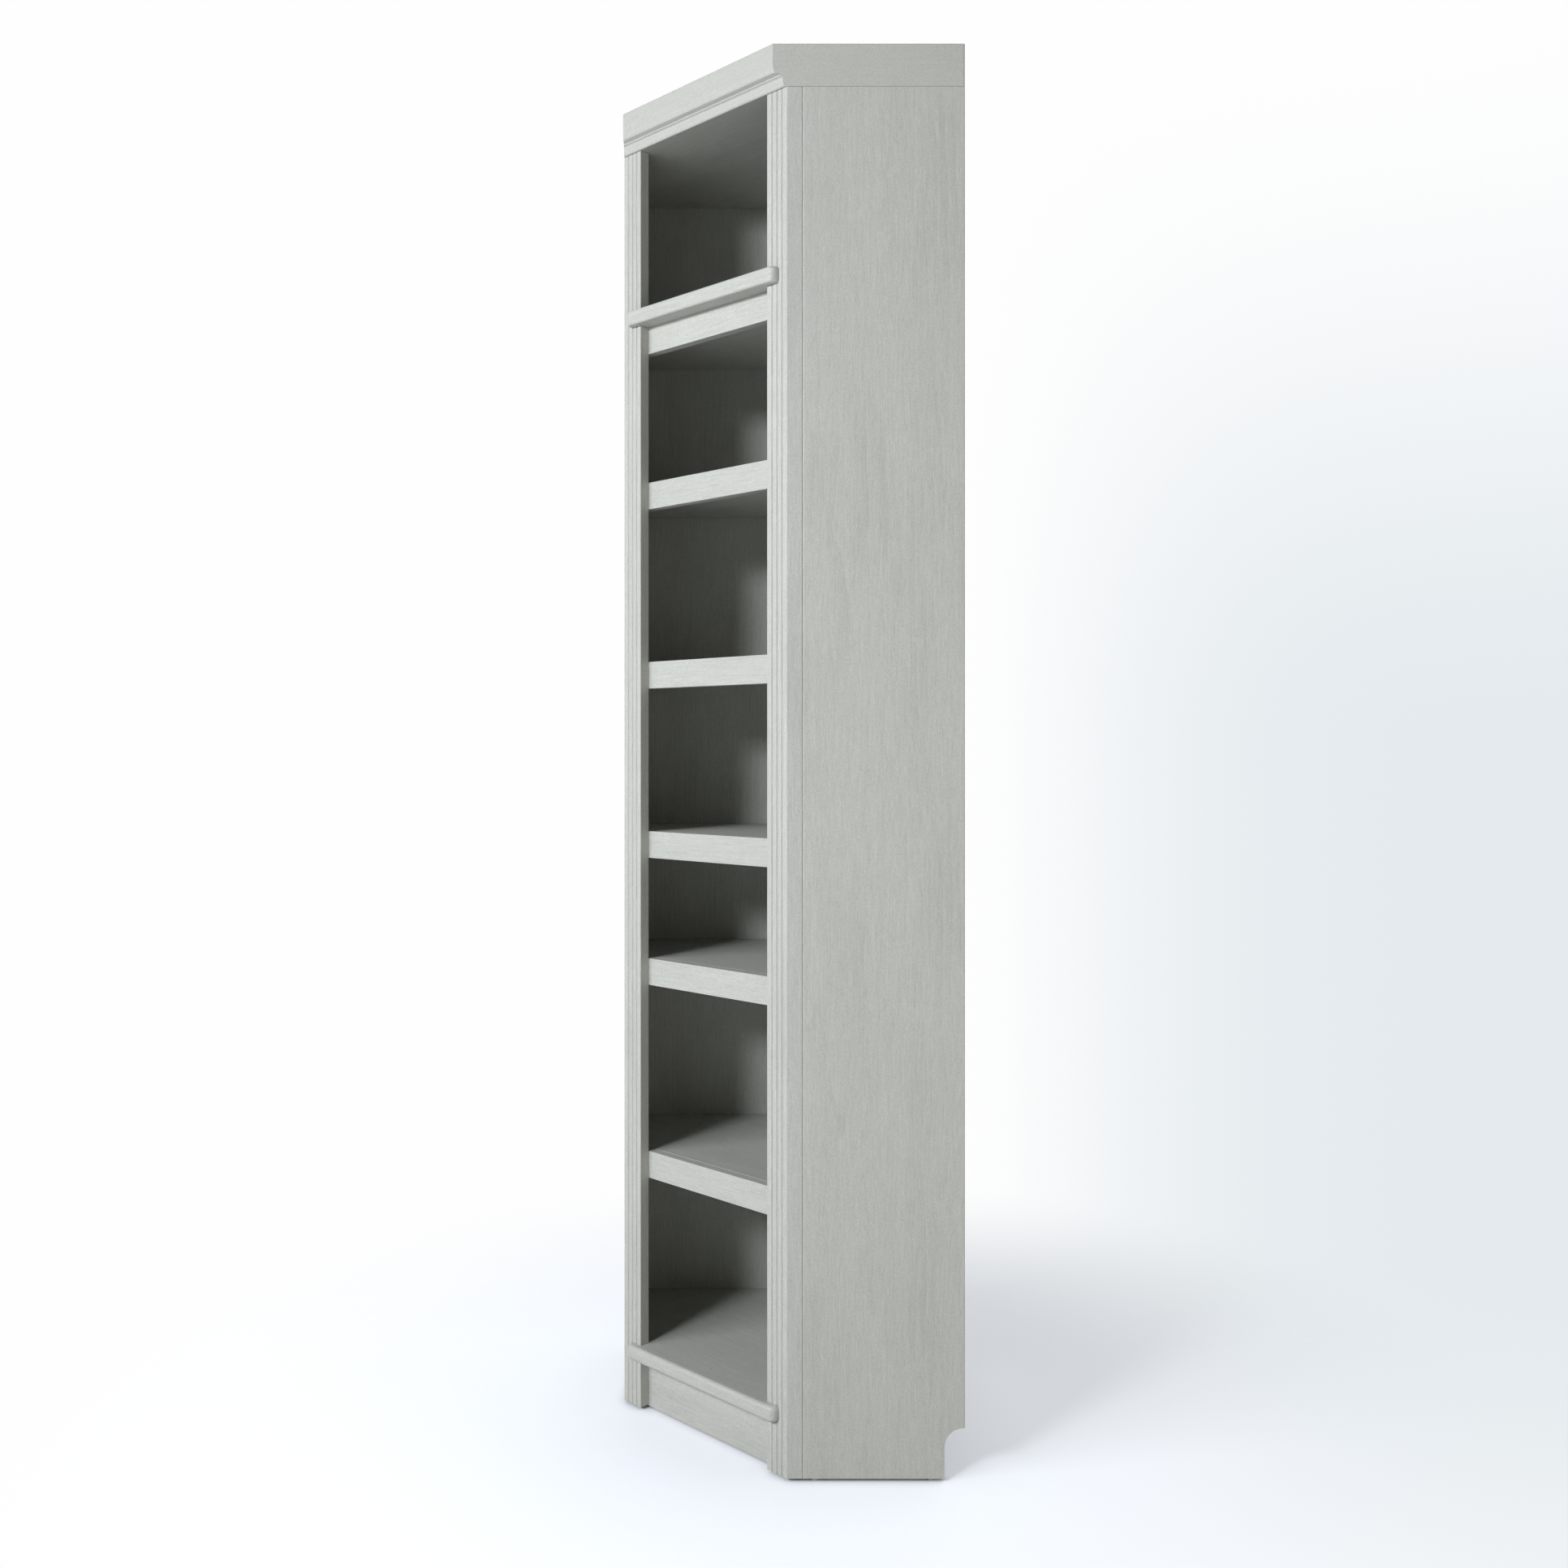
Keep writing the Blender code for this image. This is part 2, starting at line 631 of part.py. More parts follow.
# Fixed shelf
make_fixed_shelf()
make_nosing("fixed_shelf_nosing", FIXED_TOP, FIXED_NOSING_SOFTNESS)
under_nosing = FIXED_TOP - NOSING_THICK - GAP
fixed_lip = rail_outline(BEHIND_STILE, LIP_THICK, GAP)
painted(slab("fixed_shelf_lip", fixed_lip, FIXED_TOP - NOSING_THICK - LIP_HEIGHT, under_nosing))

# Adjustable shelves, counted from the lowest, and their pins
lip_front = STILE_THICK + SHELF_FRONT_CLEARANCE
board_front = lip_front + LIP_THICK + GAP
for number, level in enumerate(SHELF_TOPS, start=1):
    tag = str(number)
    board_plan = shelf_outline(board_front, SHELF_EDGE_CLEARANCE, SHELF_EDGE_CLEARANCE)
    painted(slab("shelf_board_" + tag, board_plan, level - SHELF_THICK, level))
    lip_plan = rail_outline(lip_front, LIP_THICK, SHELF_EDGE_CLEARANCE)
    painted(slab("shelf_lip_" + tag, lip_plan, level - LIP_HEIGHT, level))
    for half in (LEFT, RIGHT):
        for which, (spot, heading) in pin_places(half, level - SHELF_THICK).items():
            make_pin(SIDE_NAMES[half] + "_" + which + "_pin_" + tag, spot, heading)
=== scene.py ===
"""Corner shelf dressed for its picture: painted boards with eased edges, a moulded crown,
fluted stiles, rounded nosings, turned shelf pins and nail-on glides.

Metres, +Z up, the front faces -Y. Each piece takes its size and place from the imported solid
that it stands for. The right-hand pieces are modelled and the left-hand ones mirrored.
"""
import json
import math

import bmesh
import bpy
from mathutils import Matrix, Vector

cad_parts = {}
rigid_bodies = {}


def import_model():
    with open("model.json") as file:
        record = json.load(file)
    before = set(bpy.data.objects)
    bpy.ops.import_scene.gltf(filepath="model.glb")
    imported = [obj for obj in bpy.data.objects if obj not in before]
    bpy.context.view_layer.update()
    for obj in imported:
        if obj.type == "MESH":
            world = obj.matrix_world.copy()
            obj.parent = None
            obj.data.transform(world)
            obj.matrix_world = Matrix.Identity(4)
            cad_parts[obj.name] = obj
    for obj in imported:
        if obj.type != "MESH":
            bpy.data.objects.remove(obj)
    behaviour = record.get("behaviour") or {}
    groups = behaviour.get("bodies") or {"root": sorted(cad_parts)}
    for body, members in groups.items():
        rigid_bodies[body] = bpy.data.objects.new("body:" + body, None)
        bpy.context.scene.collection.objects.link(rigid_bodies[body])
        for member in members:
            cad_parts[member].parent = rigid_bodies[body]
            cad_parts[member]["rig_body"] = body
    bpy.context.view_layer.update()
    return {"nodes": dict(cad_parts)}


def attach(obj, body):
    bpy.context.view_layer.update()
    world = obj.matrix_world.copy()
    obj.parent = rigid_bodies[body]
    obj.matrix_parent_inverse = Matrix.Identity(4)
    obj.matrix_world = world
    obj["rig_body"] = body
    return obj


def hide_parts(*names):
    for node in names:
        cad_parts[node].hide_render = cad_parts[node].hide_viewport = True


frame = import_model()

MM = 0.001
SHELF_COUNT = 5

# Directions in plan: square to the front, to the side panels and to the back panels
HALF_TURN = math.pi
QUARTER_TURN = math.pi / 2
WALL_HEADING = -math.pi / 4
SLANT = math.sqrt(0.5)
FORWARD = Vector((0.0, -1.0, 0.0))
RIGHTWARD = Vector((1.0, 0.0, 0.0))
UP = Vector((0.0, 0.0, 1.0))
RIGHT_OUTWARD = Vector((SLANT, -SLANT, 0.0))
LEFT_OUTWARD = Vector((-SLANT, -SLANT, 0.0))
RIGHT_WALLWARD = Vector((SLANT, SLANT, 0.0))
LEFT_WALLWARD = Vector((-SLANT, SLANT, 0.0))

# Edges: the sander's eased arris on every board, the softer ones, and the joints drawn tighter than packed
EASE = 0.8 * MM
EASE_STEPS = 3
FINE_EASE = 0.4 * MM
FINE_EASE_STEPS = 2
SHARP_ANGLE = math.radians(38)
SMOOTH_ANGLE = math.radians(40)
SOFT_EDGE = 2.4 * MM
SOFT_EDGE_STEPS = 6
JOINT_CHAMFER = 0.9 * MM
STILE_CLOSING = 0.1 * MM
LIP_CLOSING = 0.27 * MM
LEG_EDGE = 2.5 * MM

# Working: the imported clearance, tolerances of the tests, the cutters' overrun, how firmly faces stay flat
CLEARANCE = 0.3 * MM
ON_PLANE = 0.05 * MM
MERGE_REACH = 0.001 * MM
NEARLY_UPRIGHT = 0.99
NEARLY_LEVEL = 0.01
OVERRUN = 5.0 * MM
FACE_WEIGHT = 100

# Stile flutes
FLUTE_COUNT = 3
FLUTE_PITCH = 10.5 * MM
FLUTE_WIDTH = 3.2 * MM
FLUTE_DEPTH = 2.0 * MM

# Baseboard notch
NOTCH_WIDTH = 30.4 * MM
NOTCH_TOP = 79.8 * MM
NOTCH_RADIUS = 29.0 * MM
NOTCH_STEPS = 16

# Nosings
NOSING_CORNER = 12.6 * MM
NOSING_CORNER_STEPS = 12
FIXED_NOSING_SOFTNESS = 4.0 * MM
DECK_NOSING_SOFTNESS = 7.0 * MM
NOSING_STEPS = 6

# Kick board: how far above the floor it ends
KICK_FOOT = 3.0 * MM

# Crown profile, measured down from the top and out from the stile face
FASCIA_PROJECTION = 15.0 * MM
FASCIA_DROP = 33.6 * MM
OVOLO_DROP = 43.8 * MM
OVOLO_PROJECTION = 11.4 * MM
BEAD_DROP = 47.2 * MM
BEAD_PROJECTION = 6.2 * MM
BEAD_RADIUS = 1.4 * MM
BAND_DROP = 49.9 * MM
BAND_PROJECTION = 4.2 * MM
BAND_ROUNDING_DROP = 58.4 * MM
BAND_FOOT_PROJECTION = 0.9 * MM
PROFILE_STEPS = 10

# Paint: its tones and sheen, how much grain shows on the crown, and the grain's mean tone, kept there too
PAINT_LIGHT = "#C1C2BB"
PAINT_DARK = "#A3A49C"
PAINT_ROUGHNESS = (0.44, 0.58)
PAINT_IOR = 1.42
CROWN_FIGURE = 0.35
FULL_FIGURE_TONE = 0.4

# Grain under the paint: slow drift of the fibres, and growth rings stretched along the board
DRIFT_SIZE = 140.0 * MM
FIBRE_SWAY = 6.0 * MM
STREAK_ROUGHNESS = 0.6
RING_SPACING = 7.0 * MM
RING_SCALE_FACTOR = 0.314
RING_DISTORTION = 4.0
RING_STRETCH = 0.05

# Where nearly all values of a noise texture lie
NOISE_LOW = 0.3
NOISE_HIGH = 0.7

# Pin steel and glide nylon
PLATE_LIGHT = "#C9C8C4"
PLATE_DARK = "#A9A8A5"
PLATE_ROUGHNESS = (0.22, 0.38)
TOOL_MARK_SIZE = 0.6 * MM
TOOL_MARK_DEPTH = 0.01 * MM
NYLON_LIGHT = "#B4B4AF"
NYLON_DARK = "#9C9C97"
NYLON_ROUGHNESS = 0.5
NYLON_IOR = 1.53
NYLON_STIPPLE_SIZE = 0.5 * MM
NYLON_STIPPLE_DEPTH = 0.02 * MM

# Shelf pins and their holes
PEG_RADIUS = 2.5 * MM
PEG_LENGTH = 9.0 * MM
COLLAR_RADIUS = 4.5 * MM
COLLAR_THICK = 1.2 * MM
STUB_RADIUS = 3.0 * MM
STUB_LENGTH = 11.0 * MM
PIN_ROUNDING = 0.5 * MM
ROUNDING_STEPS = 4
PIN_STEPS = 32
HOLE_RADIUS = 2.8 * MM
HOLE_DEPTH = 9.8 * MM
HOLE_PITCH = 32.0 * MM
HOLE_STEPS = 24

# Glides
GLIDE_RADIUS = 7.0 * MM
GLIDE_FOOT_RADIUS = 5.5 * MM
GLIDE_ROUNDING = 0.8 * MM
GLIDE_NAIL_RADIUS = 1.2 * MM
GLIDE_NAIL_LENGTH = 12.0 * MM
GLIDE_STEPS = 32

# Camera, from the photograph: a level view along the right side panel's normal
PHOTO_PIXELS = 1932
FOCAL_PIXELS = 1850
HORIZON_PIXEL = 922
SENSOR_WIDTH = 36.0
CAMERA_PLACE = Vector((1.7615, -1.83809, 1.088))

# Floor: a paper lit by the lamps, with a glow for the camera that fades out and is shaded near the shelf
FLOOR_SIZE = 80.0
FLOOR_COLOUR = "#CDCED0"
FLOOR_GLOW = "#ABB0B6"
FLOOR_ROUGHNESS = 0.9
FLOOR_FADE_START = 0.35
FLOOR_FADE_END = 1.3
SHADE_SAMPLES = 8
NEAR_SHADE_REACH = 0.16
NEAR_SHADE_DEPTH = 0.7
CONTACT_SHADE_REACH = 0.03
CONTACT_SHADE_START = 0.8
CONTACT_SHADE_END = 0.1

# Backdrop: white, a cool grey about one direction and below a height, and soft ambient light from behind
BACKDROP_WHITE = "#FEFEFE"
BACKDROP_GREY = "#E4EAEE"
BACKDROP_TURN = Vector((-0.299, 0.954, 0.0))
BACKDROP_TURN_START = 0.93
BACKDROP_TOP = 0.42
BACKDROP_FOOT_START = -0.6
BACKDROP_FOOT_END = -0.3
AMBIENT_COLOUR = "#FFFFFF"
AMBIENT = 0.02
REAR_AMBIENT = 0.8
REAR_AMBIENT_START = 0.0
REAR_AMBIENT_END = 0.4

# Lamps: two soft ones in front, high up and aimed low, and a weak warm card to the right
FRONT_LAMP_TARGET = Vector((0.0, -0.26, -0.8))
FRONT_LAMP_TINT = "#F6F9FF"
CARD_TARGET = Vector((0.28, -0.17, 0.6))
CARD_TINT = "#FFF6E8"


def deselect():
    """Leave nothing selected, so that the next tool touches only its own piece."""
    if bpy.context.object and bpy.context.object.mode == "EDIT":
        bpy.ops.object.mode_set(mode="OBJECT")
    bpy.ops.object.select_all(action="DESELECT")


def take_up(piece):
    """Make one piece the selected and active one."""
    deselect()
    piece.select_set(True)
    bpy.context.view_layer.objects.active = piece


def measure(node, heading=0.0):
    """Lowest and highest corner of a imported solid, in axes turned about Z by the heading."""
    turn = Matrix.Rotation(-heading, 3, "Z")
    spots = [turn @ vertex.co for vertex in frame["nodes"][node].data.vertices]
    low = Vector([min(spot[axis] for spot in spots) for axis in range(3)])
    high = Vector([max(spot[axis] for spot in spots) for axis in range(3)])
    return low, high


def reach(node, direction):
    """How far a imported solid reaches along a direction."""
    return max(vertex.co.dot(direction) for vertex in frame["nodes"][node].data.vertices)


def block(name, low, high, heading=0.0):
    """A cube primitive between two corners given in axes turned by the heading."""
    deselect()
    middle = Matrix.Rotation(heading, 3, "Z") @ ((low + high) / 2)
    bpy.ops.mesh.primitive_cube_add(size=1.0, location=middle, rotation=(0.0, 0.0, heading))
    cube = bpy.context.object
    cube.name = name
    cube.scale = high - low
    bpy.ops.object.transform_apply(location=True, rotation=True, scale=True)
    return cube


def start_board(node, heading=0.0):
    """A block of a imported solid's size and place, from which its board is worked."""
    low, high = measure(node, heading)
    return block(node + "_finished", low, high, heading)


def pick(kind, test):
    """In edit mode, select the vertices, edges or faces that pass a test."""
    bpy.ops.mesh.select_mode(type=kind)
    bpy.ops.mesh.select_all(action="DESELECT")
    mesh = bpy.context.object.data
    shape = bmesh.from_edit_mesh(mesh)
    members = {"VERT": shape.verts, "EDGE": shape.edges, "FACE": shape.faces}[kind]
    for member in members:
        if test(member):
            member.select_set(True)
    bmesh.update_edit_mesh(mesh)


def saw(piece, point, normal):
    """Saw a piece through a plane and drop the side that the normal points to."""
    take_up(piece)
    bpy.ops.object.mode_set(mode="EDIT")
    bpy.ops.mesh.select_all(action="SELECT")
    bpy.ops.mesh.bisect(plane_co=point, plane_no=normal, use_fill=True, clear_outer=True)
    bpy.ops.object.mode_set(mode="OBJECT")


def saw_to(piece, node, direction):
    """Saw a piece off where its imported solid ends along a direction."""
    saw(piece, direction * reach(node, direction), direction)


def score(piece, point, normal):
    """Add an edge loop where a plane crosses a piece, without parting it."""
    take_up(piece)
    bpy.ops.object.mode_set(mode="EDIT")
    bpy.ops.mesh.select_all(action="SELECT")
    bpy.ops.mesh.bisect(plane_co=point, plane_no=normal, use_fill=False)
    bpy.ops.object.mode_set(mode="OBJECT")


def middle_of(edge):
    """The middle of an edge."""
    return (edge.verts[0].co + edge.verts[1].co) / 2


def heading_of(edge):
    """The direction of an edge."""
    return (edge.verts[1].co - edge.verts[0].co).normalized()


def is_upright(edge):
    """Whether an edge stands upright."""
    return abs(heading_of(edge).z) > NEARLY_UPRIGHT


def is_level(edge):
    """Whether an edge lies level."""
    return abs(heading_of(edge).z) < NEARLY_LEVEL


def round_edges(piece, test, width, steps):
    """Round the edges of a piece that pass a test."""
    take_up(piece)
    bpy.ops.object.mode_set(mode="EDIT")
    pick("EDGE", test)
    bpy.ops.mesh.bevel(offset=width, segments=steps, profile=0.5, affect="EDGES", clamp_overlap=True)
    bpy.ops.object.mode_set(mode="OBJECT")


def ease(piece, width=EASE, steps=EASE_STEPS, keep=None):
    """Ease every sharp edge, except those that pass the keep test."""

    def is_arris(edge):
        sharp = edge.calc_face_angle(0.0) > SHARP_ANGLE
        return sharp and not (keep and keep(middle_of(edge)))

    round_edges(piece, is_arris, width, steps)


def cut_out(piece, cutter):
    """Take a cutter's shape out of a piece and remove the cutter."""
    take_up(piece)
    modifier = piece.modifiers.new("cut", "BOOLEAN")
    modifier.operation = "DIFFERENCE"
    modifier.solver = "EXACT"
    modifier.object = cutter
    bpy.ops.object.modifier_apply(modifier=modifier.name)
    bpy.data.objects.remove(cutter, do_unlink=True)


def tidy_mesh(piece):
    """Merge doubles and turn every face outwards."""
    take_up(piece)
    bpy.ops.object.mode_set(mode="EDIT")
    bpy.ops.mesh.select_all(action="SELECT")
    bpy.ops.mesh.remove_doubles(threshold=MERGE_REACH)
    bpy.ops.mesh.normals_make_consistent(inside=False)
    bpy.ops.object.mode_set(mode="OBJECT")


def mirrored(piece, node):
    """The left-hand copy of a right-hand piece, with its own mesh."""
    copy = piece.copy()
    copy.data = piece.data.copy()
    copy.name = node + "_finished"
    bpy.context.collection.objects.link(copy)
    take_up(copy)
    copy.scale.x = -1.0
    bpy.ops.object.transform_apply(location=False, rotation=False, scale=True)
    tidy_mesh(copy)
    return copy


def moved_copy(piece, name, place):
    """A copy of a modelled piece with its own mesh, brought to its place by a matrix."""
    copy = piece.copy()
    copy.data = piece.data.copy()
    copy.name = name
    bpy.context.collection.objects.link(copy)
    take_up(copy)
    copy.matrix_world = place
    bpy.ops.object.transform_apply(location=True, rotation=True, scale=True)
    return copy


def draw(name, points):
    """Draw an open line by extruding a vertex from point to point."""
    deselect()
    bpy.ops.mesh.primitive_plane_add(size=1.0, location=(0.0, 0.0, 0.0))
    line = bpy.context.object
    line.name = name
    bpy.ops.object.mode_set(mode="EDIT")
    bpy.ops.mesh.select_mode(type="VERT")
    bpy.ops.mesh.select_all(action="SELECT")
    bpy.ops.mesh.merge(type="CENTER")
    bpy.ops.mesh.select_all(action="SELECT")
    bpy.ops.transform.translate(value=points[0])
    for start, end in zip(points, points[1:]):
        bpy.ops.mesh.extrude_vertices_move(TRANSFORM_OT_translate={"value": end - start})
    return line


def turn_on_lathe(name, profile, steps):
    """Turn a profile of (radius, height) points about Z."""
    piece = draw(name, [Vector((radius, 0.0, height)) for radius, height in profile])
    bpy.ops.mesh.select_all(action="SELECT")
    bpy.ops.mesh.spin(steps=steps, angle=2 * HALF_TURN, center=(0.0, 0.0, 0.0), axis=UP)
    bpy.ops.object.mode_set(mode="OBJECT")
    tidy_mesh(piece)
    return piece


def arc(centre, radii, start, end, steps):
    """Points on an elliptical arc between two angles."""
    points = []
    for index in range(steps + 1):
        angle = start + (end - start) * index / steps
        points.append((centre[0] + radii[0] * math.cos(angle), centre[1] + radii[1] * math.sin(angle)))
    return points


def hex_colour(code):
    """Linear colour from an sRGB hex value such as #D0D2CE."""
    linear = []
    for start in (1, 3, 5):
        channel = int(code[start:start + 2], 16) / 255
        linear.append(channel / 12.92 if channel <= 0.04045 else ((channel + 0.055) / 1.055) ** 2.4)
    return (*linear, 1.0)


def add_node(tree, kind, settings=None, values=None, links=None):
    """Add a node, set its properties and sockets, and link other nodes into it."""
    node = tree.nodes.new(kind)
    for name, value in (settings or {}).items():
        setattr(node, name, value)
    for socket, value in (values or {}).items():
        node.inputs[socket].default_value = value
    for socket, source in (links or {}).items():
        tree.links.new(source, node.inputs[socket])
    return node


def new_material(name):
    """An empty node material and its shader."""
    material = bpy.data.materials.new(name)
    material.use_nodes = True
    return material, material.node_tree, material.node_tree.nodes["Principled BSDF"]


def painted_oak(name, grain_direction, figure=1.0):
    """Oak-faced board sprayed with light grey satin lacquer.

    The lacquer fills the grain only in part, so the fibres stay as a faint relief along the board,
    with short darker pores, arched growth lines here and there, a slow drift of tone and the fine
    stipple of the spray gun. The figure is how much of the grain shows through. The fibres and the
    stipple are drawn two or three times as coarse as real ones, so that they show in the picture.
    """
    material, tree, shader = new_material(name)
    place = add_node(tree, "ShaderNodeTexCoord").outputs["Object"]
    lie = grain_direction.rotation_difference(UP).to_euler()
    turned = add_node(tree, "ShaderNodeMapping", values={"Rotation": lie}, links={"Vector": place})
    straight = turned.outputs[0]

    values = {"Scale": 1.0 / DRIFT_SIZE, "Detail": 1.0}
    drift = add_node(tree, "ShaderNodeTexNoise", values=values, links={"Vector": straight}).outputs["Color"]
    sway = (FIBRE_SWAY, FIBRE_SWAY, 0.0)
    links = {0: drift, 2: straight}
    grain = add_node(tree, "ShaderNodeVectorMath", {"operation": "MULTIPLY_ADD"}, {1: sway}, links).outputs[0]

    def streaks(width, length, detail, low=NOISE_LOW, high=NOISE_HIGH):
        """Noise drawn out along the grain to a streak's width and length, spread from 0 to 1."""
        scale = (1.0 / width, 1.0 / width, 1.0 / length)
        drawn = add_node(tree, "ShaderNodeVectorMath", {"operation": "MULTIPLY"}, {1: scale}, {0: grain})
        values = {"Scale": 1.0, "Detail": detail, "Roughness": STREAK_ROUGHNESS}
        noise = add_node(tree, "ShaderNodeTexNoise", values=values, links={"Vector": drawn.outputs[0]})
        spread = add_node(tree, "ShaderNodeMapRange", values={1: low, 2: high}, links={0: noise.outputs[0]})
        return spread.outputs[0]

    def blend(weights, base=0.0):
        """Weighted sum of patterns on top of a base value."""
        total = None
        for pattern, weight in weights:
            links = {0: pattern, 2: total} if total else {0: pattern}
            values = {1: weight} if total else {1: weight, 2: base}
            total = add_node(tree, "ShaderNodeMath", {"operation": "MULTIPLY_ADD"}, values, links).outputs[0]
        return total

    fibres = streaks(width=2.2 * MM, length=60.0 * MM, detail=3.0)
    dashes = streaks(width=1.5 * MM, length=16.0 * MM, detail=2.0)
    bands = streaks(width=16.0 * MM, length=500.0 * MM, detail=2.0)
    pores = streaks(width=1.6 * MM, length=22.0 * MM, detail=1.0, low=0.6, high=0.72)
    patches = streaks(width=70.0 * MM, length=260.0 * MM, detail=1.0, low=0.5, high=0.66)
    stipple = streaks(width=2.0 * MM, length=2.0 * MM, detail=2.0)

    stretch = (1.0, 1.0, RING_STRETCH)
    arches = add_node(tree, "ShaderNodeVectorMath", {"operation": "MULTIPLY"}, {1: stretch}, {0: grain})
    ring_shape = {
        "Scale": RING_SCALE_FACTOR / RING_SPACING,
        "Distortion": RING_DISTORTION,
        "Detail": 2.0,
        "Detail Scale": 0.3,
    }
    rings = add_node(
        tree,
        "ShaderNodeTexWave",
        {"wave_type": "RINGS", "rings_direction": "SPHERICAL", "wave_profile": "SAW"},
        ring_shape,
        {"Vector": arches.outputs[0]},
    ).outputs["Fac"]
    links = {0: rings, 1: patches}
    growth = add_node(tree, "ShaderNodeMath", {"operation": "MULTIPLY"}, links=links).outputs[0]

    # How much each pattern darkens the paint, and how high it stands
    tones = [
        (fibres, 0.32 * figure),
        (dashes, 0.26 * figure),
        (pores, 0.2 * figure),
        (growth, 0.2 * figure),
        (bands, 0.1 * figure),
        (stipple, 0.5),
    ]
    tone = blend(tones, FULL_FIGURE_TONE * (1.0 - figure))
    relief = blend([
        (fibres, -0.05 * MM * figure),
        (dashes, -0.025 * MM * figure),
        (pores, -0.035 * MM * figure),
        (growth, -0.04 * MM * figure),
        (stipple, 0.06 * MM),
    ])
    colours = {6: hex_colour(PAINT_LIGHT), 7: hex_colour(PAINT_DARK)}
    paint = add_node(tree, "ShaderNodeMix", {"data_type": "RGBA"}, colours, {0: tone}).outputs[2]
    gloss, matt = PAINT_ROUGHNESS
    sheen = add_node(tree, "ShaderNodeMapRange", values={3: gloss, 4: matt}, links={0: fibres}).outputs[0]
    bump = add_node(
        tree, "ShaderNodeBump", values={"Strength": 1.0, "Distance": 1.0}, links={"Height": relief}
    ).outputs[0]
    tree.links.new(paint, shader.inputs["Base Color"])
    tree.links.new(sheen, shader.inputs["Roughness"])
    tree.links.new(bump, shader.inputs["Normal"])
    shader.inputs["IOR"].default_value = PAINT_IOR
    return material


def turned_steel(name):
    """Nickel-plated mild steel, turned on a lathe: bright, with faint tool marks."""
    material, tree, shader = new_material(name)
    place = add_node(tree, "ShaderNodeTexCoord").outputs["Object"]
    values = {"Scale": 1.0 / TOOL_MARK_SIZE, "Detail": 3.0}
    marks = add_node(tree, "ShaderNodeTexNoise", values=values, links={"Vector": place}).outputs[0]
    colours = {6: hex_colour(PLATE_LIGHT), 7: hex_colour(PLATE_DARK)}
    plate = add_node(tree, "ShaderNodeMix", {"data_type": "RGBA"}, colours, {0: marks}).outputs[2]
    bright, dull = PLATE_ROUGHNESS
    values = {1: NOISE_LOW, 2: NOISE_HIGH, 3: bright, 4: dull}
    sheen = add_node(tree, "ShaderNodeMapRange", values=values, links={0: marks}).outputs[0]
    values = {1: TOOL_MARK_DEPTH}
    depth = add_node(tree, "ShaderNodeMath", {"operation": "MULTIPLY"}, values, {0: marks}).outputs[0]
    bump = add_node(
        tree, "ShaderNodeBump", values={"Strength": 1.0, "Distance": 1.0}, links={"Height": depth}
    ).outputs[0]
    tree.links.new(plate, shader.inputs["Base Color"])
    tree.links.new(sheen, shader.inputs["Roughness"])
    tree.links.new(bump, shader.inputs["Normal"])
    shader.inputs["Metallic"].default_value = 1.0
    return material


def moulded_nylon(name):
    """Grey nylon, injection moulded: matt, with a fine spark-eroded texture and a little mottling."""
    material, tree, shader = new_material(name)
    place = add_node(tree, "ShaderNodeTexCoord").outputs["Object"]
    values = {"Scale": 1.0 / NYLON_STIPPLE_SIZE, "Detail": 2.0}
    stipple = add_node(tree, "ShaderNodeTexNoise", values=values, links={"Vector": place}).outputs[0]
    colours = {6: hex_colour(NYLON_LIGHT), 7: hex_colour(NYLON_DARK)}
    resin = add_node(tree, "ShaderNodeMix", {"data_type": "RGBA"}, colours, {0: stipple}).outputs[2]
    values = {1: NYLON_STIPPLE_DEPTH}
    depth = add_node(tree, "ShaderNodeMath", {"operation": "MULTIPLY"}, values, {0: stipple}).outputs[0]
    bump = add_node(
        tree, "ShaderNodeBump", values={"Strength": 1.0, "Distance": 1.0}, links={"Height": depth}
    ).outputs[0]
    tree.links.new(resin, shader.inputs["Base Color"])
    tree.links.new(bump, shader.inputs["Normal"])
    shader.inputs["Roughness"].default_value = NYLON_ROUGHNESS
    shader.inputs["IOR"].default_value = NYLON_IOR
    return material


UPRIGHT_PAINT = painted_oak("painted_oak_upright", UP)
CROSSWISE_PAINT = painted_oak("painted_oak_crosswise", RIGHTWARD)
CROWN_PAINT = painted_oak("painted_oak_crown", RIGHTWARD, CROWN_FIGURE)
RIGHT_RETURN_PAINT = painted_oak("painted_oak_right_return", RIGHT_WALLWARD, CROWN_FIGURE)
LEFT_RETURN_PAINT = painted_oak("painted_oak_left_return", LEFT_WALLWARD, CROWN_FIGURE)
PIN_STEEL = turned_steel("nickel_plated_steel_turned")
GLIDE_NYLON = moulded_nylon("nylon_moulded")


def hand_in(piece, node, material):
    """Smooth a finished piece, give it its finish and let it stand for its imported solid."""
    take_up(piece)
    bpy.ops.object.shade_smooth_by_angle(angle=SMOOTH_ANGLE)
    weighted = piece.modifiers.new("flat faces", "WEIGHTED_NORMAL")
    weighted.keep_sharp = True
    weighted.weight = FACE_WEIGHT
    bpy.ops.object.modifier_apply(modifier=weighted.name)
    piece.data.materials.clear()
    piece.data.materials.append(material)
    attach(piece, frame["nodes"][node]["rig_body"])
    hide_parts(node)


def hand_in_pair(piece, part, right_material, left_material):
    """Hand in a right-hand piece and its mirror image."""
    left_node = "left_" + part
    left = mirrored(piece, left_node)
    hand_in(piece, "right_" + part, right_material)
    hand_in(left, left_node, left_material)


def pin_axis(node, heading):
    """Where a pin's axis crosses its panel's plane, in axes turned by the heading."""
    low, high = measure(node, heading)
    return (low + high) / 2


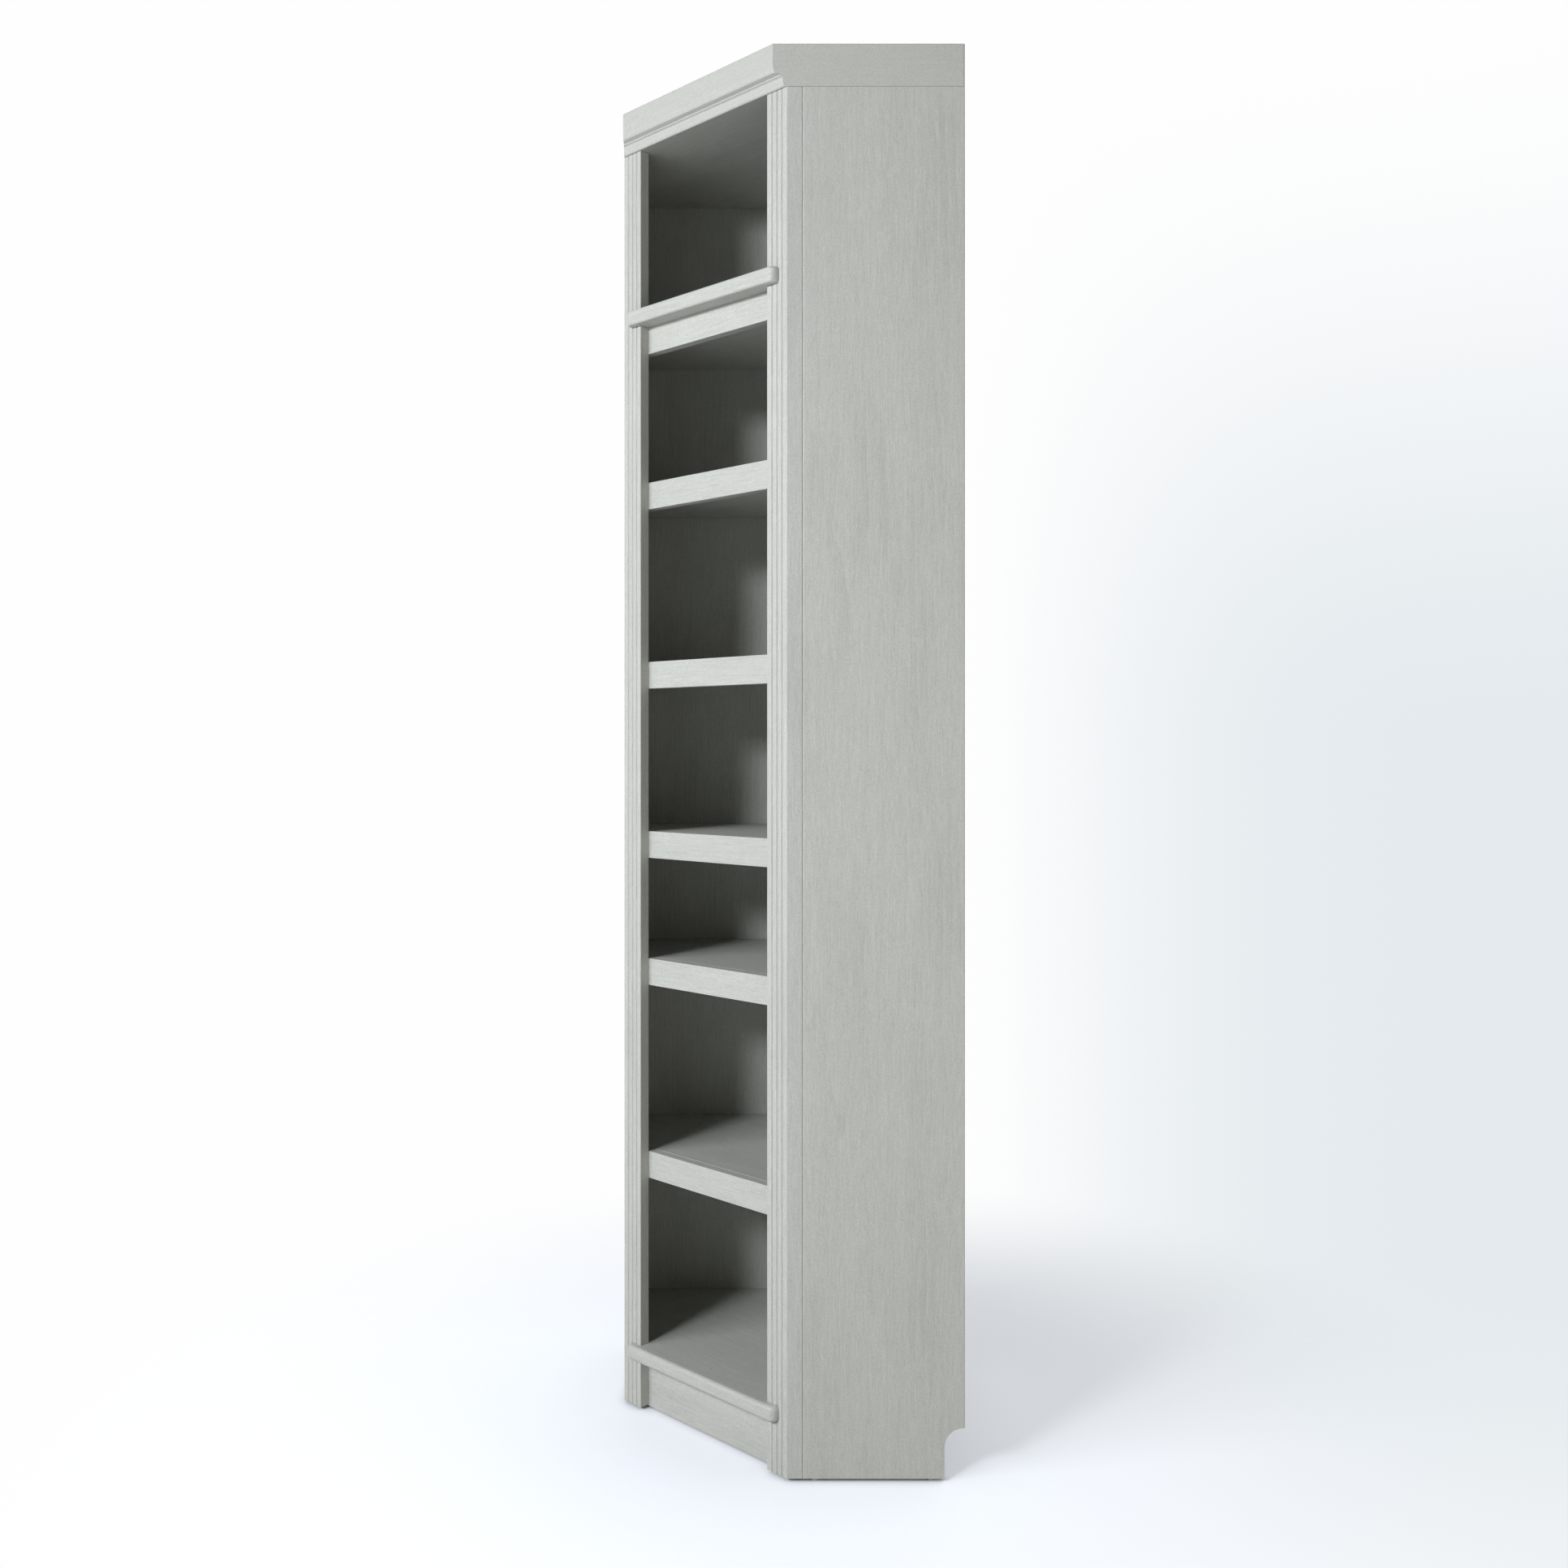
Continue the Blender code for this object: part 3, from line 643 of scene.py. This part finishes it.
def drill_pin_holes(panel, pin_line, heading, face, inward):
    """Drill the shelf pin holes of a panel: each pin's own and the spare ones above and below.

    The face is the panel's inner face along X or Y of the turned axes, and inward points from it
    into the wood.
    """
    turn = Matrix.Rotation(heading, 3, "Z")
    direction = turn @ inward
    for number in range(1, SHELF_COUNT + 1):
        axis = pin_axis(pin_line + str(number), heading)
        for step in (-1, 0, 1):
            spot = Vector(axis)
            if inward.x:
                spot.x = face
            else:
                spot.y = face
            spot.z += step * HOLE_PITCH
            middle = turn @ spot + direction * (HOLE_DEPTH - OVERRUN) / 2
            deselect()
            bpy.ops.mesh.primitive_cylinder_add(
                vertices=HOLE_STEPS,
                radius=HOLE_RADIUS,
                depth=HOLE_DEPTH + OVERRUN,
                location=middle,
                rotation=direction.to_track_quat("Z", "Y").to_euler(),
            )
            cut_out(panel, bpy.context.object)


def make_side_panels():
    """Side panels: notched for the baseboard, grooved for the back, housed for deck and fixed shelf."""
    node = "right_side_panel"
    panel = start_board(node, WALL_HEADING)
    saw_to(panel, node, FORWARD)
    low, high = measure(node, WALL_HEADING)
    wall_line = high.y
    notch_low = Vector((low.x - OVERRUN, wall_line - NOTCH_WIDTH, low.z - OVERRUN))
    notch_high = Vector((high.x + OVERRUN, wall_line + OVERRUN, NOTCH_TOP))
    notch = block("notch", notch_low, notch_high, WALL_HEADING)
    along = RIGHT_WALLWARD
    inner = wall_line - NOTCH_WIDTH

    def is_notch_shoulder(edge):
        spot = middle_of(edge)
        return abs(spot.z - NOTCH_TOP) < ON_PLANE and abs(spot.dot(along) - inner) < ON_PLANE

    round_edges(notch, is_notch_shoulder, NOTCH_RADIUS, NOTCH_STEPS)
    cut_out(panel, notch)

    def is_outer_rear_edge(edge):
        spot = middle_of(edge)
        outside = abs(spot.dot(RIGHT_OUTWARD) - high.x) < ON_PLANE
        return outside and is_upright(edge) and abs(spot.dot(along) - wall_line) < ON_PLANE

    def is_joint_edge(edge):
        spot = middle_of(edge)
        outside = abs(spot.dot(RIGHT_OUTWARD) - high.x) < ON_PLANE
        return outside and is_upright(edge) and abs(spot.y + reach(node, FORWARD)) < ON_PLANE

    round_edges(panel, is_outer_rear_edge, SOFT_EDGE, SOFT_EDGE_STEPS)
    round_edges(panel, is_joint_edge, JOINT_CHAMFER, FINE_EASE_STEPS)
    ease(panel)
    back_low, back_high = measure("right_back_panel", WALL_HEADING)
    groove_low = Vector((low.x - OVERRUN, back_low.y - CLEARANCE, back_low.z - CLEARANCE))
    groove_high = Vector((back_high.x + CLEARANCE, back_high.y + CLEARANCE, high.z + OVERRUN))
    cut_out(panel, block("back_groove", groove_low, groove_high, WALL_HEADING))
    for shelf in ("deck", "fixed_shelf"):
        shelf_low, shelf_high = measure(shelf, WALL_HEADING)
        depth = reach(shelf, RIGHT_OUTWARD) + CLEARANCE
        housing_low = Vector((low.x - OVERRUN, low.y - OVERRUN, shelf_low.z - CLEARANCE))
        housing_high = Vector((depth, (back_low.y + back_high.y) / 2, shelf_high.z + CLEARANCE))
        cut_out(panel, block("housing", housing_low, housing_high, WALL_HEADING))
    drill_pin_holes(panel, "right_side_pin_", WALL_HEADING, low.x, RIGHTWARD)
    hand_in_pair(panel, "side_panel", UPRIGHT_PAINT, UPRIGHT_PAINT)


def make_stiles():
    """Front stiles: three flutes on the face, the outer edge sawn flush with the side panel."""
    node = "right_stile"
    low, high = measure(node)
    high += Vector((STILE_CLOSING, STILE_CLOSING, 0.0))
    stile = block(node + "_finished", low, high)
    outer_face = RIGHT_OUTWARD * reach("right_side_panel", RIGHT_OUTWARD)
    saw(stile, outer_face, RIGHT_OUTWARD)
    arris = outer_face.dot(RIGHT_OUTWARD) / SLANT + low.y
    for index in range(1, FLUTE_COUNT + 1):
        middle = arris - index * FLUTE_PITCH
        for shift in (-FLUTE_WIDTH / 2, 0.0, FLUTE_WIDTH / 2):
            score(stile, (middle + shift, 0.0, 0.0), RIGHTWARD)
        take_up(stile)
        bpy.ops.object.mode_set(mode="EDIT")
        pick("VERT", lambda spot: abs(spot.co.x - middle) < ON_PLANE and abs(spot.co.y - low.y) < ON_PLANE)
        bpy.ops.transform.translate(value=(0.0, FLUTE_DEPTH, 0.0))
        bpy.ops.object.mode_set(mode="OBJECT")
    ease(stile, FINE_EASE, FINE_EASE_STEPS)
    hand_in_pair(stile, "stile", UPRIGHT_PAINT, UPRIGHT_PAINT)


def make_backs():
    """Back panels, mitred in the corner."""
    node = "right_back_panel"
    panel = start_board(node, WALL_HEADING)
    saw(panel, (CLEARANCE / 2, 0.0, 0.0), -RIGHTWARD)
    ease(panel, FINE_EASE, FINE_EASE_STEPS)
    inner_face = measure(node, WALL_HEADING)[0].y
    drill_pin_holes(panel, "right_back_pin_", WALL_HEADING, inner_face, -FORWARD)
    hand_in_pair(panel, "back_panel", UPRIGHT_PAINT, UPRIGHT_PAINT)


def make_crown():
    """Crown moulding: fascia, ovolo, bead and rounded band, sawn flush with the side panels."""
    node = "crown_moulding"
    low, high = measure(node)
    top = high.z
    face = low.y + FASCIA_PROJECTION
    bead = (-BEAD_PROJECTION, -BEAD_DROP)
    case = low.z - top
    outline = [(-FASCIA_PROJECTION, 0.0)]
    ovolo = (FASCIA_PROJECTION - OVOLO_PROJECTION, OVOLO_DROP - FASCIA_DROP)
    outline += arc((-OVOLO_PROJECTION, -FASCIA_DROP), ovolo, HALF_TURN, 3 * QUARTER_TURN, PROFILE_STEPS)
    outline += arc(bead, (BEAD_RADIUS, BEAD_RADIUS), QUARTER_TURN, 3 * QUARTER_TURN, PROFILE_STEPS)
    outline.append((-BAND_PROJECTION, -BAND_DROP))
    foot = (-BAND_FOOT_PROJECTION, -BAND_ROUNDING_DROP)
    rounding = (BAND_PROJECTION - BAND_FOOT_PROJECTION, -BAND_ROUNDING_DROP - case)
    outline += arc(foot, rounding, HALF_TURN, 3 * QUARTER_TURN, PROFILE_STEPS)
    outline += [(high.y - face, case), (high.y - face, 0.0)]
    points = [Vector((low.x, face + out, top + rise)) for out, rise in outline]
    crown = draw(node + "_finished", points)
    bpy.ops.mesh.select_all(action="SELECT")
    bpy.ops.mesh.edge_face_add()
    run = Vector((high.x - low.x, 0.0, 0.0))
    bpy.ops.mesh.extrude_region_move(TRANSFORM_OT_translate={"value": run})
    bpy.ops.object.mode_set(mode="OBJECT")
    tidy_mesh(crown)
    for outward in (RIGHT_OUTWARD, LEFT_OUTWARD):
        saw(crown, outward * reach("right_side_panel", RIGHT_OUTWARD), outward)

    def is_top_front_edge(edge):
        spot = middle_of(edge)
        return is_level(edge) and abs(spot.z - top) < ON_PLANE and spot.y < high.y - ON_PLANE

    round_edges(crown, is_top_front_edge, SOFT_EDGE, SOFT_EDGE_STEPS)
    ease(crown, FINE_EASE, FINE_EASE_STEPS, lambda spot: abs(spot.y - high.y) < ON_PLANE)
    hand_in(crown, node, CROWN_PAINT)


def make_crown_returns():
    """Crown returns over the side panels, rabbeted for the top panel, closed up to the crown."""
    node = "right_crown_return"
    board = start_board(node, WALL_HEADING)
    low, high = measure(node, WALL_HEADING)
    crown_rear = measure("crown_moulding")[1].y

    def is_soft_edge(edge):
        spot = middle_of(edge)
        outside = abs(spot.dot(RIGHT_OUTWARD) - high.x) < ON_PLANE
        rear = abs(spot.dot(RIGHT_WALLWARD) - high.y) < ON_PLANE
        return outside and (rear or abs(spot.z - high.z) < ON_PLANE)

    round_edges(board, is_soft_edge, SOFT_EDGE, SOFT_EDGE_STEPS)
    ease(board)
    saw(board, (0.0, crown_rear, 0.0), FORWARD)
    rabbet_top = measure("top_panel")[1].z + CLEARANCE
    rabbet_depth = reach("top_panel", RIGHT_OUTWARD) + CLEARANCE
    rabbet_low = Vector((low.x - OVERRUN, low.y - OVERRUN, low.z - OVERRUN))
    rabbet_high = Vector((rabbet_depth, high.y + OVERRUN, rabbet_top))
    cut_out(board, block("rabbet", rabbet_low, rabbet_high, WALL_HEADING))
    hand_in_pair(board, "crown_return", RIGHT_RETURN_PAINT, LEFT_RETURN_PAINT)


def five_sided(node, front=None):
    """A board that fills the corner: square in front, sawn to the side panels and the backs.

    A front, where given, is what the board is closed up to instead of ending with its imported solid.
    """
    low, high = measure(node)
    low.y = low.y if front is None else front
    board = block(node + "_finished", low, high)
    for direction in (RIGHT_OUTWARD, LEFT_OUTWARD, RIGHT_WALLWARD, LEFT_WALLWARD):
        saw_to(board, node, direction)
    return board


def front_rail(node, foot=None, closing=0.0):
    """A board across the front between the side panels.

    A foot, where given, is the height at which it ends below, and the closing is how far it is
    drawn up to the piece above it.
    """
    low, high = measure(node)
    low.z = low.z if foot is None else foot
    high.z += closing
    rail = block(node + "_finished", low, high)
    for direction in (RIGHT_OUTWARD, LEFT_OUTWARD):
        saw_to(rail, node, direction)
    return rail


def make_nosing(node, softness):
    """Nosing in front of the stiles, with round ends and a tongue between the stiles.

    The softness is how far the top and bottom edges are rounded.
    """
    low, high = measure(node)
    face = -reach("right_stile", FORWARD) - CLEARANCE
    tongue = measure("right_stile")[0].x - CLEARANCE
    rear = high.y + CLEARANCE
    centre = (high.x - NOSING_CORNER, low.y + NOSING_CORNER)
    corner = arc(centre, (NOSING_CORNER, NOSING_CORNER), 0.0, -QUARTER_TURN, NOSING_CORNER_STEPS)
    outline = [(high.x, rear)] + corner
    outline += [(-x, y) for x, y in reversed(outline)]
    nosing = draw(node + "_finished", [Vector((x, y, low.z)) for x, y in outline])
    bpy.ops.mesh.select_all(action="SELECT")
    bpy.ops.mesh.edge_face_add()
    bpy.ops.mesh.extrude_region_move(TRANSFORM_OT_translate={"value": (0.0, 0.0, high.z - low.z)})
    bpy.ops.object.mode_set(mode="OBJECT")
    tidy_mesh(nosing)

    def is_front_arris(edge):
        return is_level(edge) and middle_of(edge).y < rear - ON_PLANE

    round_edges(nosing, is_front_arris, softness, NOSING_STEPS)
    for near, far in ((tongue, high.x + OVERRUN), (-high.x - OVERRUN, -tongue)):
        relief_low = Vector((near, face, low.z - OVERRUN))
        relief_high = Vector((far, rear + OVERRUN, high.z + OVERRUN))
        cut_out(nosing, block("relief", relief_low, relief_high))
    hand_in(nosing, node, CROSSWISE_PAINT)


def make_base():
    """Deck, its nosing, the kick board under it and the rear leg."""
    deck = five_sided("deck")
    deck_front = -reach("deck", FORWARD)
    ease(deck, FINE_EASE, FINE_EASE_STEPS, lambda spot: abs(spot.y - deck_front) < ON_PLANE)
    hand_in(deck, "deck", CROSSWISE_PAINT)
    make_nosing("deck_nosing", DECK_NOSING_SOFTNESS)
    kick = front_rail("kick_board", KICK_FOOT)
    ease(kick)
    hand_in(kick, "kick_board", CROSSWISE_PAINT)
    leg = start_board("rear_leg", WALL_HEADING)
    round_edges(leg, is_upright, LEG_EDGE, EASE_STEPS)
    ease(leg)
    hand_in(leg, "rear_leg", UPRIGHT_PAINT)


def make_top_and_fixed_shelf():
    """Top panel, and the fixed shelf with its nosing and the lip in its rabbet."""
    crown_rear = measure("crown_moulding")[1].y
    top = five_sided("top_panel", crown_rear)
    ease(top, FINE_EASE, FINE_EASE_STEPS, lambda spot: abs(spot.y - crown_rear) < ON_PLANE)
    hand_in(top, "top_panel", CROSSWISE_PAINT)
    shelf = five_sided("fixed_shelf")
    shelf_front = -reach("fixed_shelf", FORWARD)
    ease(shelf, FINE_EASE, FINE_EASE_STEPS, lambda spot: abs(spot.y - shelf_front) < ON_PLANE)
    lip_low, lip_high = measure("fixed_shelf_lip")
    rabbet_low = Vector((lip_low.x - OVERRUN, lip_low.y - OVERRUN, lip_low.z))
    rabbet_high = Vector((lip_high.x + OVERRUN, lip_high.y + CLEARANCE, lip_high.z + CLEARANCE))
    cut_out(shelf, block("rabbet", rabbet_low, rabbet_high))
    hand_in(shelf, "fixed_shelf", CROSSWISE_PAINT)
    make_nosing("fixed_shelf_nosing", FIXED_NOSING_SOFTNESS)
    lip = front_rail("fixed_shelf_lip", closing=LIP_CLOSING)
    lip_top = lip_high.z + LIP_CLOSING
    ease(lip, keep=lambda spot: abs(spot.z - lip_top) < ON_PLANE)
    hand_in(lip, "fixed_shelf_lip", CROSSWISE_PAINT)


def make_adjustable_shelves():
    """Five shelves of a board and a deeper lip, worked once and copied to their heights."""
    for part, worked in (("shelf_board_", five_sided), ("shelf_lip_", front_rail)):
        first = worked(part + "1")
        ease(first)
        start = measure(part + "1")[0]
        for number in range(2, SHELF_COUNT + 1):
            node = part + str(number)
            lift = Matrix.Translation(measure(node)[0] - start)
            hand_in(moved_copy(first, node + "_finished", lift), node, CROSSWISE_PAINT)
        hand_in(first, part + "1", CROSSWISE_PAINT)


def rounded_end(radius, height, rounding, upper):
    """Points of a turned end: a flat disc with a rounded rim, from or to the axis."""
    rise = -rounding if upper else rounding
    rim = arc((radius - rounding, height + rise), (rounding, rounding), QUARTER_TURN, 0.0, ROUNDING_STEPS)
    if not upper:
        rim = [(out, 2 * (height + rise) - up) for out, up in reversed(rim)]
        return rim + [(0.0, height)]
    return [(0.0, height)] + rim


def make_pins():
    """Shelf pins: a peg in its hole, a collar on the panel and a stub under the shelf."""
    profile = rounded_end(STUB_RADIUS, STUB_LENGTH, PIN_ROUNDING, upper=True)
    profile.append((STUB_RADIUS, CLEARANCE + COLLAR_THICK))
    collar = arc(
        (COLLAR_RADIUS - PIN_ROUNDING, CLEARANCE + COLLAR_THICK - PIN_ROUNDING),
        (PIN_ROUNDING, PIN_ROUNDING),
        QUARTER_TURN,
        0.0,
        ROUNDING_STEPS,
    )
    profile += collar
    profile += [(COLLAR_RADIUS, CLEARANCE), (PEG_RADIUS, CLEARANCE)]
    profile += rounded_end(PEG_RADIUS, -PEG_LENGTH, PIN_ROUNDING, upper=False)
    pattern = turn_on_lathe("pin_pattern", profile, PIN_STEPS)
    lines = {
        "right_side_pin_": -RIGHT_OUTWARD,
        "left_side_pin_": -LEFT_OUTWARD,
        "right_back_pin_": -RIGHT_WALLWARD,
        "left_back_pin_": -LEFT_WALLWARD,
    }
    for line, direction in lines.items():
        for number in range(1, SHELF_COUNT + 1):
            node = line + str(number)
            low, high = measure(node)
            middle = (low + high) / 2
            tip = direction * (reach(node, direction) - STUB_LENGTH)
            across = middle - direction * middle.dot(direction)
            turn = direction.to_track_quat("Z", "Y").to_matrix().to_4x4()
            place = Matrix.Translation(across + tip) @ turn
            hand_in(moved_copy(pattern, node + "_finished", place), node, PIN_STEEL)
    bpy.data.objects.remove(pattern, do_unlink=True)


def make_glides():
    """Nail-on glides: a tapered foot with rounded rims and its nail."""
    low, high = measure("rear_leg_glide")
    foot_top = high.z - GLIDE_NAIL_LENGTH - CLEARANCE
    profile = [(0.0, high.z), (GLIDE_NAIL_RADIUS, high.z), (GLIDE_NAIL_RADIUS, foot_top)]
    profile += arc(
        (GLIDE_RADIUS - GLIDE_ROUNDING, foot_top - GLIDE_ROUNDING),
        (GLIDE_ROUNDING, GLIDE_ROUNDING),
        QUARTER_TURN,
        0.0,
        ROUNDING_STEPS,
    )
    profile += rounded_end(GLIDE_FOOT_RADIUS, low.z, GLIDE_ROUNDING, upper=False)
    pattern = turn_on_lathe("glide_pattern", profile, GLIDE_STEPS)
    for spot in ("left_front", "left_rear", "right_front", "right_rear", "rear_leg"):
        node = spot + "_glide"
        low, high = measure(node)
        middle = (low + high) / 2
        place = Matrix.Translation((middle.x, middle.y, 0.0))
        hand_in(moved_copy(pattern, node + "_finished", place), node, GLIDE_NYLON)
    bpy.data.objects.remove(pattern, do_unlink=True)


def studio_rays(tree):
    """1 for the camera's rays and those that a piece mirrors or lets through, 0 for rays that light."""
    path = add_node(tree, "ShaderNodeLightPath")
    mirrored_or_through = add_node(
        tree,
        "ShaderNodeMath",
        {"operation": "MAXIMUM"},
        links={0: path.outputs["Is Glossy Ray"], 1: path.outputs["Is Transmission Ray"]},
    ).outputs[0]
    links = {0: path.outputs["Is Camera Ray"], 1: mirrored_or_through}
    return add_node(tree, "ShaderNodeMath", {"operation": "MAXIMUM"}, links=links).outputs[0]


def make_floor():
    """Pale studio floor that keeps the shelf's shadow and fades out into the backdrop."""
    deselect()
    bpy.ops.mesh.primitive_plane_add(size=FLOOR_SIZE, location=(0.0, 0.0, 0.0))
    floor = bpy.context.object
    floor.name = "studio_floor"
    material, tree, shader = new_material("floor_paper")
    place = add_node(tree, "ShaderNodeTexCoord").outputs["Object"]
    away = add_node(tree, "ShaderNodeVectorMath", {"operation": "LENGTH"}, links={0: place})
    fade = add_node(
        tree,
        "ShaderNodeMapRange",
        {"interpolation_type": "SMOOTHSTEP"},
        {1: FLOOR_FADE_START, 2: FLOOR_FADE_END},
        {0: away.outputs["Value"]},
    ).outputs[0]
    shades = []
    for shade_reach, start, end, depth in (
        (NEAR_SHADE_REACH, 1.0, 0.0, NEAR_SHADE_DEPTH),
        (CONTACT_SHADE_REACH, CONTACT_SHADE_START, CONTACT_SHADE_END, 0.0),
    ):
        settings = {"samples": SHADE_SAMPLES}
        open_sky = add_node(tree, "ShaderNodeAmbientOcclusion", settings, {"Distance": shade_reach})
        links = {0: open_sky.outputs["AO"]}
        shades.append(add_node(tree, "ShaderNodeMapRange", values={1: end, 2: start, 3: depth}, links=links))
    seen = studio_rays(tree)
    links = {0: shades[0].outputs[0], 1: shades[1].outputs[0]}
    shade = add_node(tree, "ShaderNodeMath", {"operation": "MULTIPLY"}, links=links).outputs[0]
    links = {0: seen, 1: shade}
    strength = add_node(tree, "ShaderNodeMath", {"operation": "MULTIPLY"}, links=links).outputs[0]
    glow = add_node(
        tree, "ShaderNodeEmission", values={"Color": hex_colour(FLOOR_GLOW)}, links={"Strength": strength}
    ).outputs[0]
    shader.inputs["Base Color"].default_value = hex_colour(FLOOR_COLOUR)
    shader.inputs["Roughness"].default_value = FLOOR_ROUGHNESS
    shader.inputs["Specular IOR Level"].default_value = 0.0
    paper = add_node(tree, "ShaderNodeAddShader", links={0: shader.outputs[0], 1: glow}).outputs[0]
    clear = add_node(tree, "ShaderNodeBsdfTransparent").outputs[0]
    gone = add_node(tree, "ShaderNodeMath", {"operation": "MULTIPLY"}, links={0: fade, 1: seen}).outputs[0]
    whole = add_node(tree, "ShaderNodeMixShader", links={0: gone, 1: paper, 2: clear}).outputs[0]
    tree.links.new(whole, tree.nodes["Material Output"].inputs["Surface"])
    floor.data.materials.append(material)


def make_backdrop():
    """White studio all round with a faint cool grey to the right, and soft ambient light from behind."""
    world = bpy.data.worlds.new("studio")
    bpy.context.scene.world = world
    world.use_nodes = True
    tree = world.node_tree
    direction = add_node(tree, "ShaderNodeTexCoord").outputs["Generated"]
    parts = add_node(tree, "ShaderNodeSeparateXYZ", links={0: direction})
    in_plan = (1.0, 1.0, 0.0)
    flat = add_node(tree, "ShaderNodeVectorMath", {"operation": "MULTIPLY"}, {1: in_plan}, {0: direction})
    level = add_node(tree, "ShaderNodeVectorMath", {"operation": "NORMALIZE"}, links={0: flat.outputs[0]})
    aim = add_node(
        tree, "ShaderNodeVectorMath", {"operation": "DOT_PRODUCT"}, {1: BACKDROP_TURN}, {0: level.outputs[0]}
    )
    soft = {"interpolation_type": "SMOOTHSTEP"}
    limits = (
        (aim.outputs["Value"], BACKDROP_TURN_START, 1.0),
        (parts.outputs["Z"], BACKDROP_TOP, 0.0),
        (parts.outputs["Z"], BACKDROP_FOOT_START, BACKDROP_FOOT_END),
    )
    fades = [
        add_node(tree, "ShaderNodeMapRange", soft, {1: start, 2: end}, {0: value}).outputs[0]
        for value, start, end in limits
    ]
    shade = fades[0]
    for fade in fades[1:]:
        links = {0: shade, 1: fade}
        shade = add_node(tree, "ShaderNodeMath", {"operation": "MULTIPLY"}, links=links).outputs[0]
    colours = {6: hex_colour(BACKDROP_WHITE), 7: hex_colour(BACKDROP_GREY)}
    white = add_node(tree, "ShaderNodeMix", {"data_type": "RGBA"}, colours, {0: shade}).outputs[2]
    paper = add_node(tree, "ShaderNodeBackground", values={"Strength": 1.0}, links={"Color": white})
    ambient = tree.nodes["Background"]
    ambient.inputs["Color"].default_value = hex_colour(AMBIENT_COLOUR)
    values = {1: REAR_AMBIENT_START, 2: REAR_AMBIENT_END, 3: AMBIENT, 4: REAR_AMBIENT}
    dim = add_node(tree, "ShaderNodeMapRange", soft, values, {0: parts.outputs["Y"]}).outputs[0]
    tree.links.new(dim, ambient.inputs["Strength"])
    links = {0: studio_rays(tree), 1: ambient.outputs[0], 2: paper.outputs[0]}
    both = add_node(tree, "ShaderNodeMixShader", links=links).outputs[0]
    tree.links.new(both, tree.nodes["World Output"].inputs["Surface"])


def make_softbox(name, place, target, width, height, watts, tint):
    """A soft rectangular studio lamp aimed at a point."""
    lamp = bpy.data.lights.new(name, "AREA")
    lamp.shape = "RECTANGLE"
    lamp.size = width
    lamp.size_y = height
    lamp.energy = watts
    lamp.color = hex_colour(tint)[:3]
    holder = bpy.data.objects.new(name, lamp)
    bpy.context.scene.collection.objects.link(holder)
    holder.location = place
    holder.rotation_euler = (target - place).to_track_quat("-Z", "Y").to_euler()
    holder.visible_camera = False


def make_camera():
    """The photograph's level view, square to the right side panel."""
    data = bpy.data.cameras.new("camera")
    data.sensor_width = SENSOR_WIDTH
    data.lens = SENSOR_WIDTH * FOCAL_PIXELS / PHOTO_PIXELS
    data.shift_y = (HORIZON_PIXEL - PHOTO_PIXELS / 2) / PHOTO_PIXELS
    camera = bpy.data.objects.new("camera", data)
    bpy.context.scene.collection.objects.link(camera)
    camera.location = CAMERA_PLACE
    camera.rotation_euler = (-RIGHT_OUTWARD).to_track_quat("-Z", "Y").to_euler()
    bpy.context.scene.camera = camera


make_side_panels()
make_stiles()
make_backs()
make_crown()
make_crown_returns()
make_base()
make_top_and_fixed_shelf()
make_adjustable_shelves()
make_pins()
make_glides()

make_floor()
make_backdrop()
make_softbox(
    "key_softbox",
    place=Vector((0.55, -3.86, 2.38)),
    target=FRONT_LAMP_TARGET,
    width=0.8,
    height=0.6,
    watts=71.0,
    tint=FRONT_LAMP_TINT,
)
make_softbox(
    "front_bank",
    place=Vector((-0.6, -3.83, 2.38)),
    target=FRONT_LAMP_TARGET,
    width=2.8,
    height=0.7,
    watts=141.0,
    tint=FRONT_LAMP_TINT,
)
make_softbox(
    "fill_card",
    place=Vector((3.2, -0.9, 0.6)),
    target=CARD_TARGET,
    width=1.6,
    height=1.0,
    watts=11.0,
    tint=CARD_TINT,
)
make_camera()
bpy.context.scene.view_settings.view_transform = "Standard"
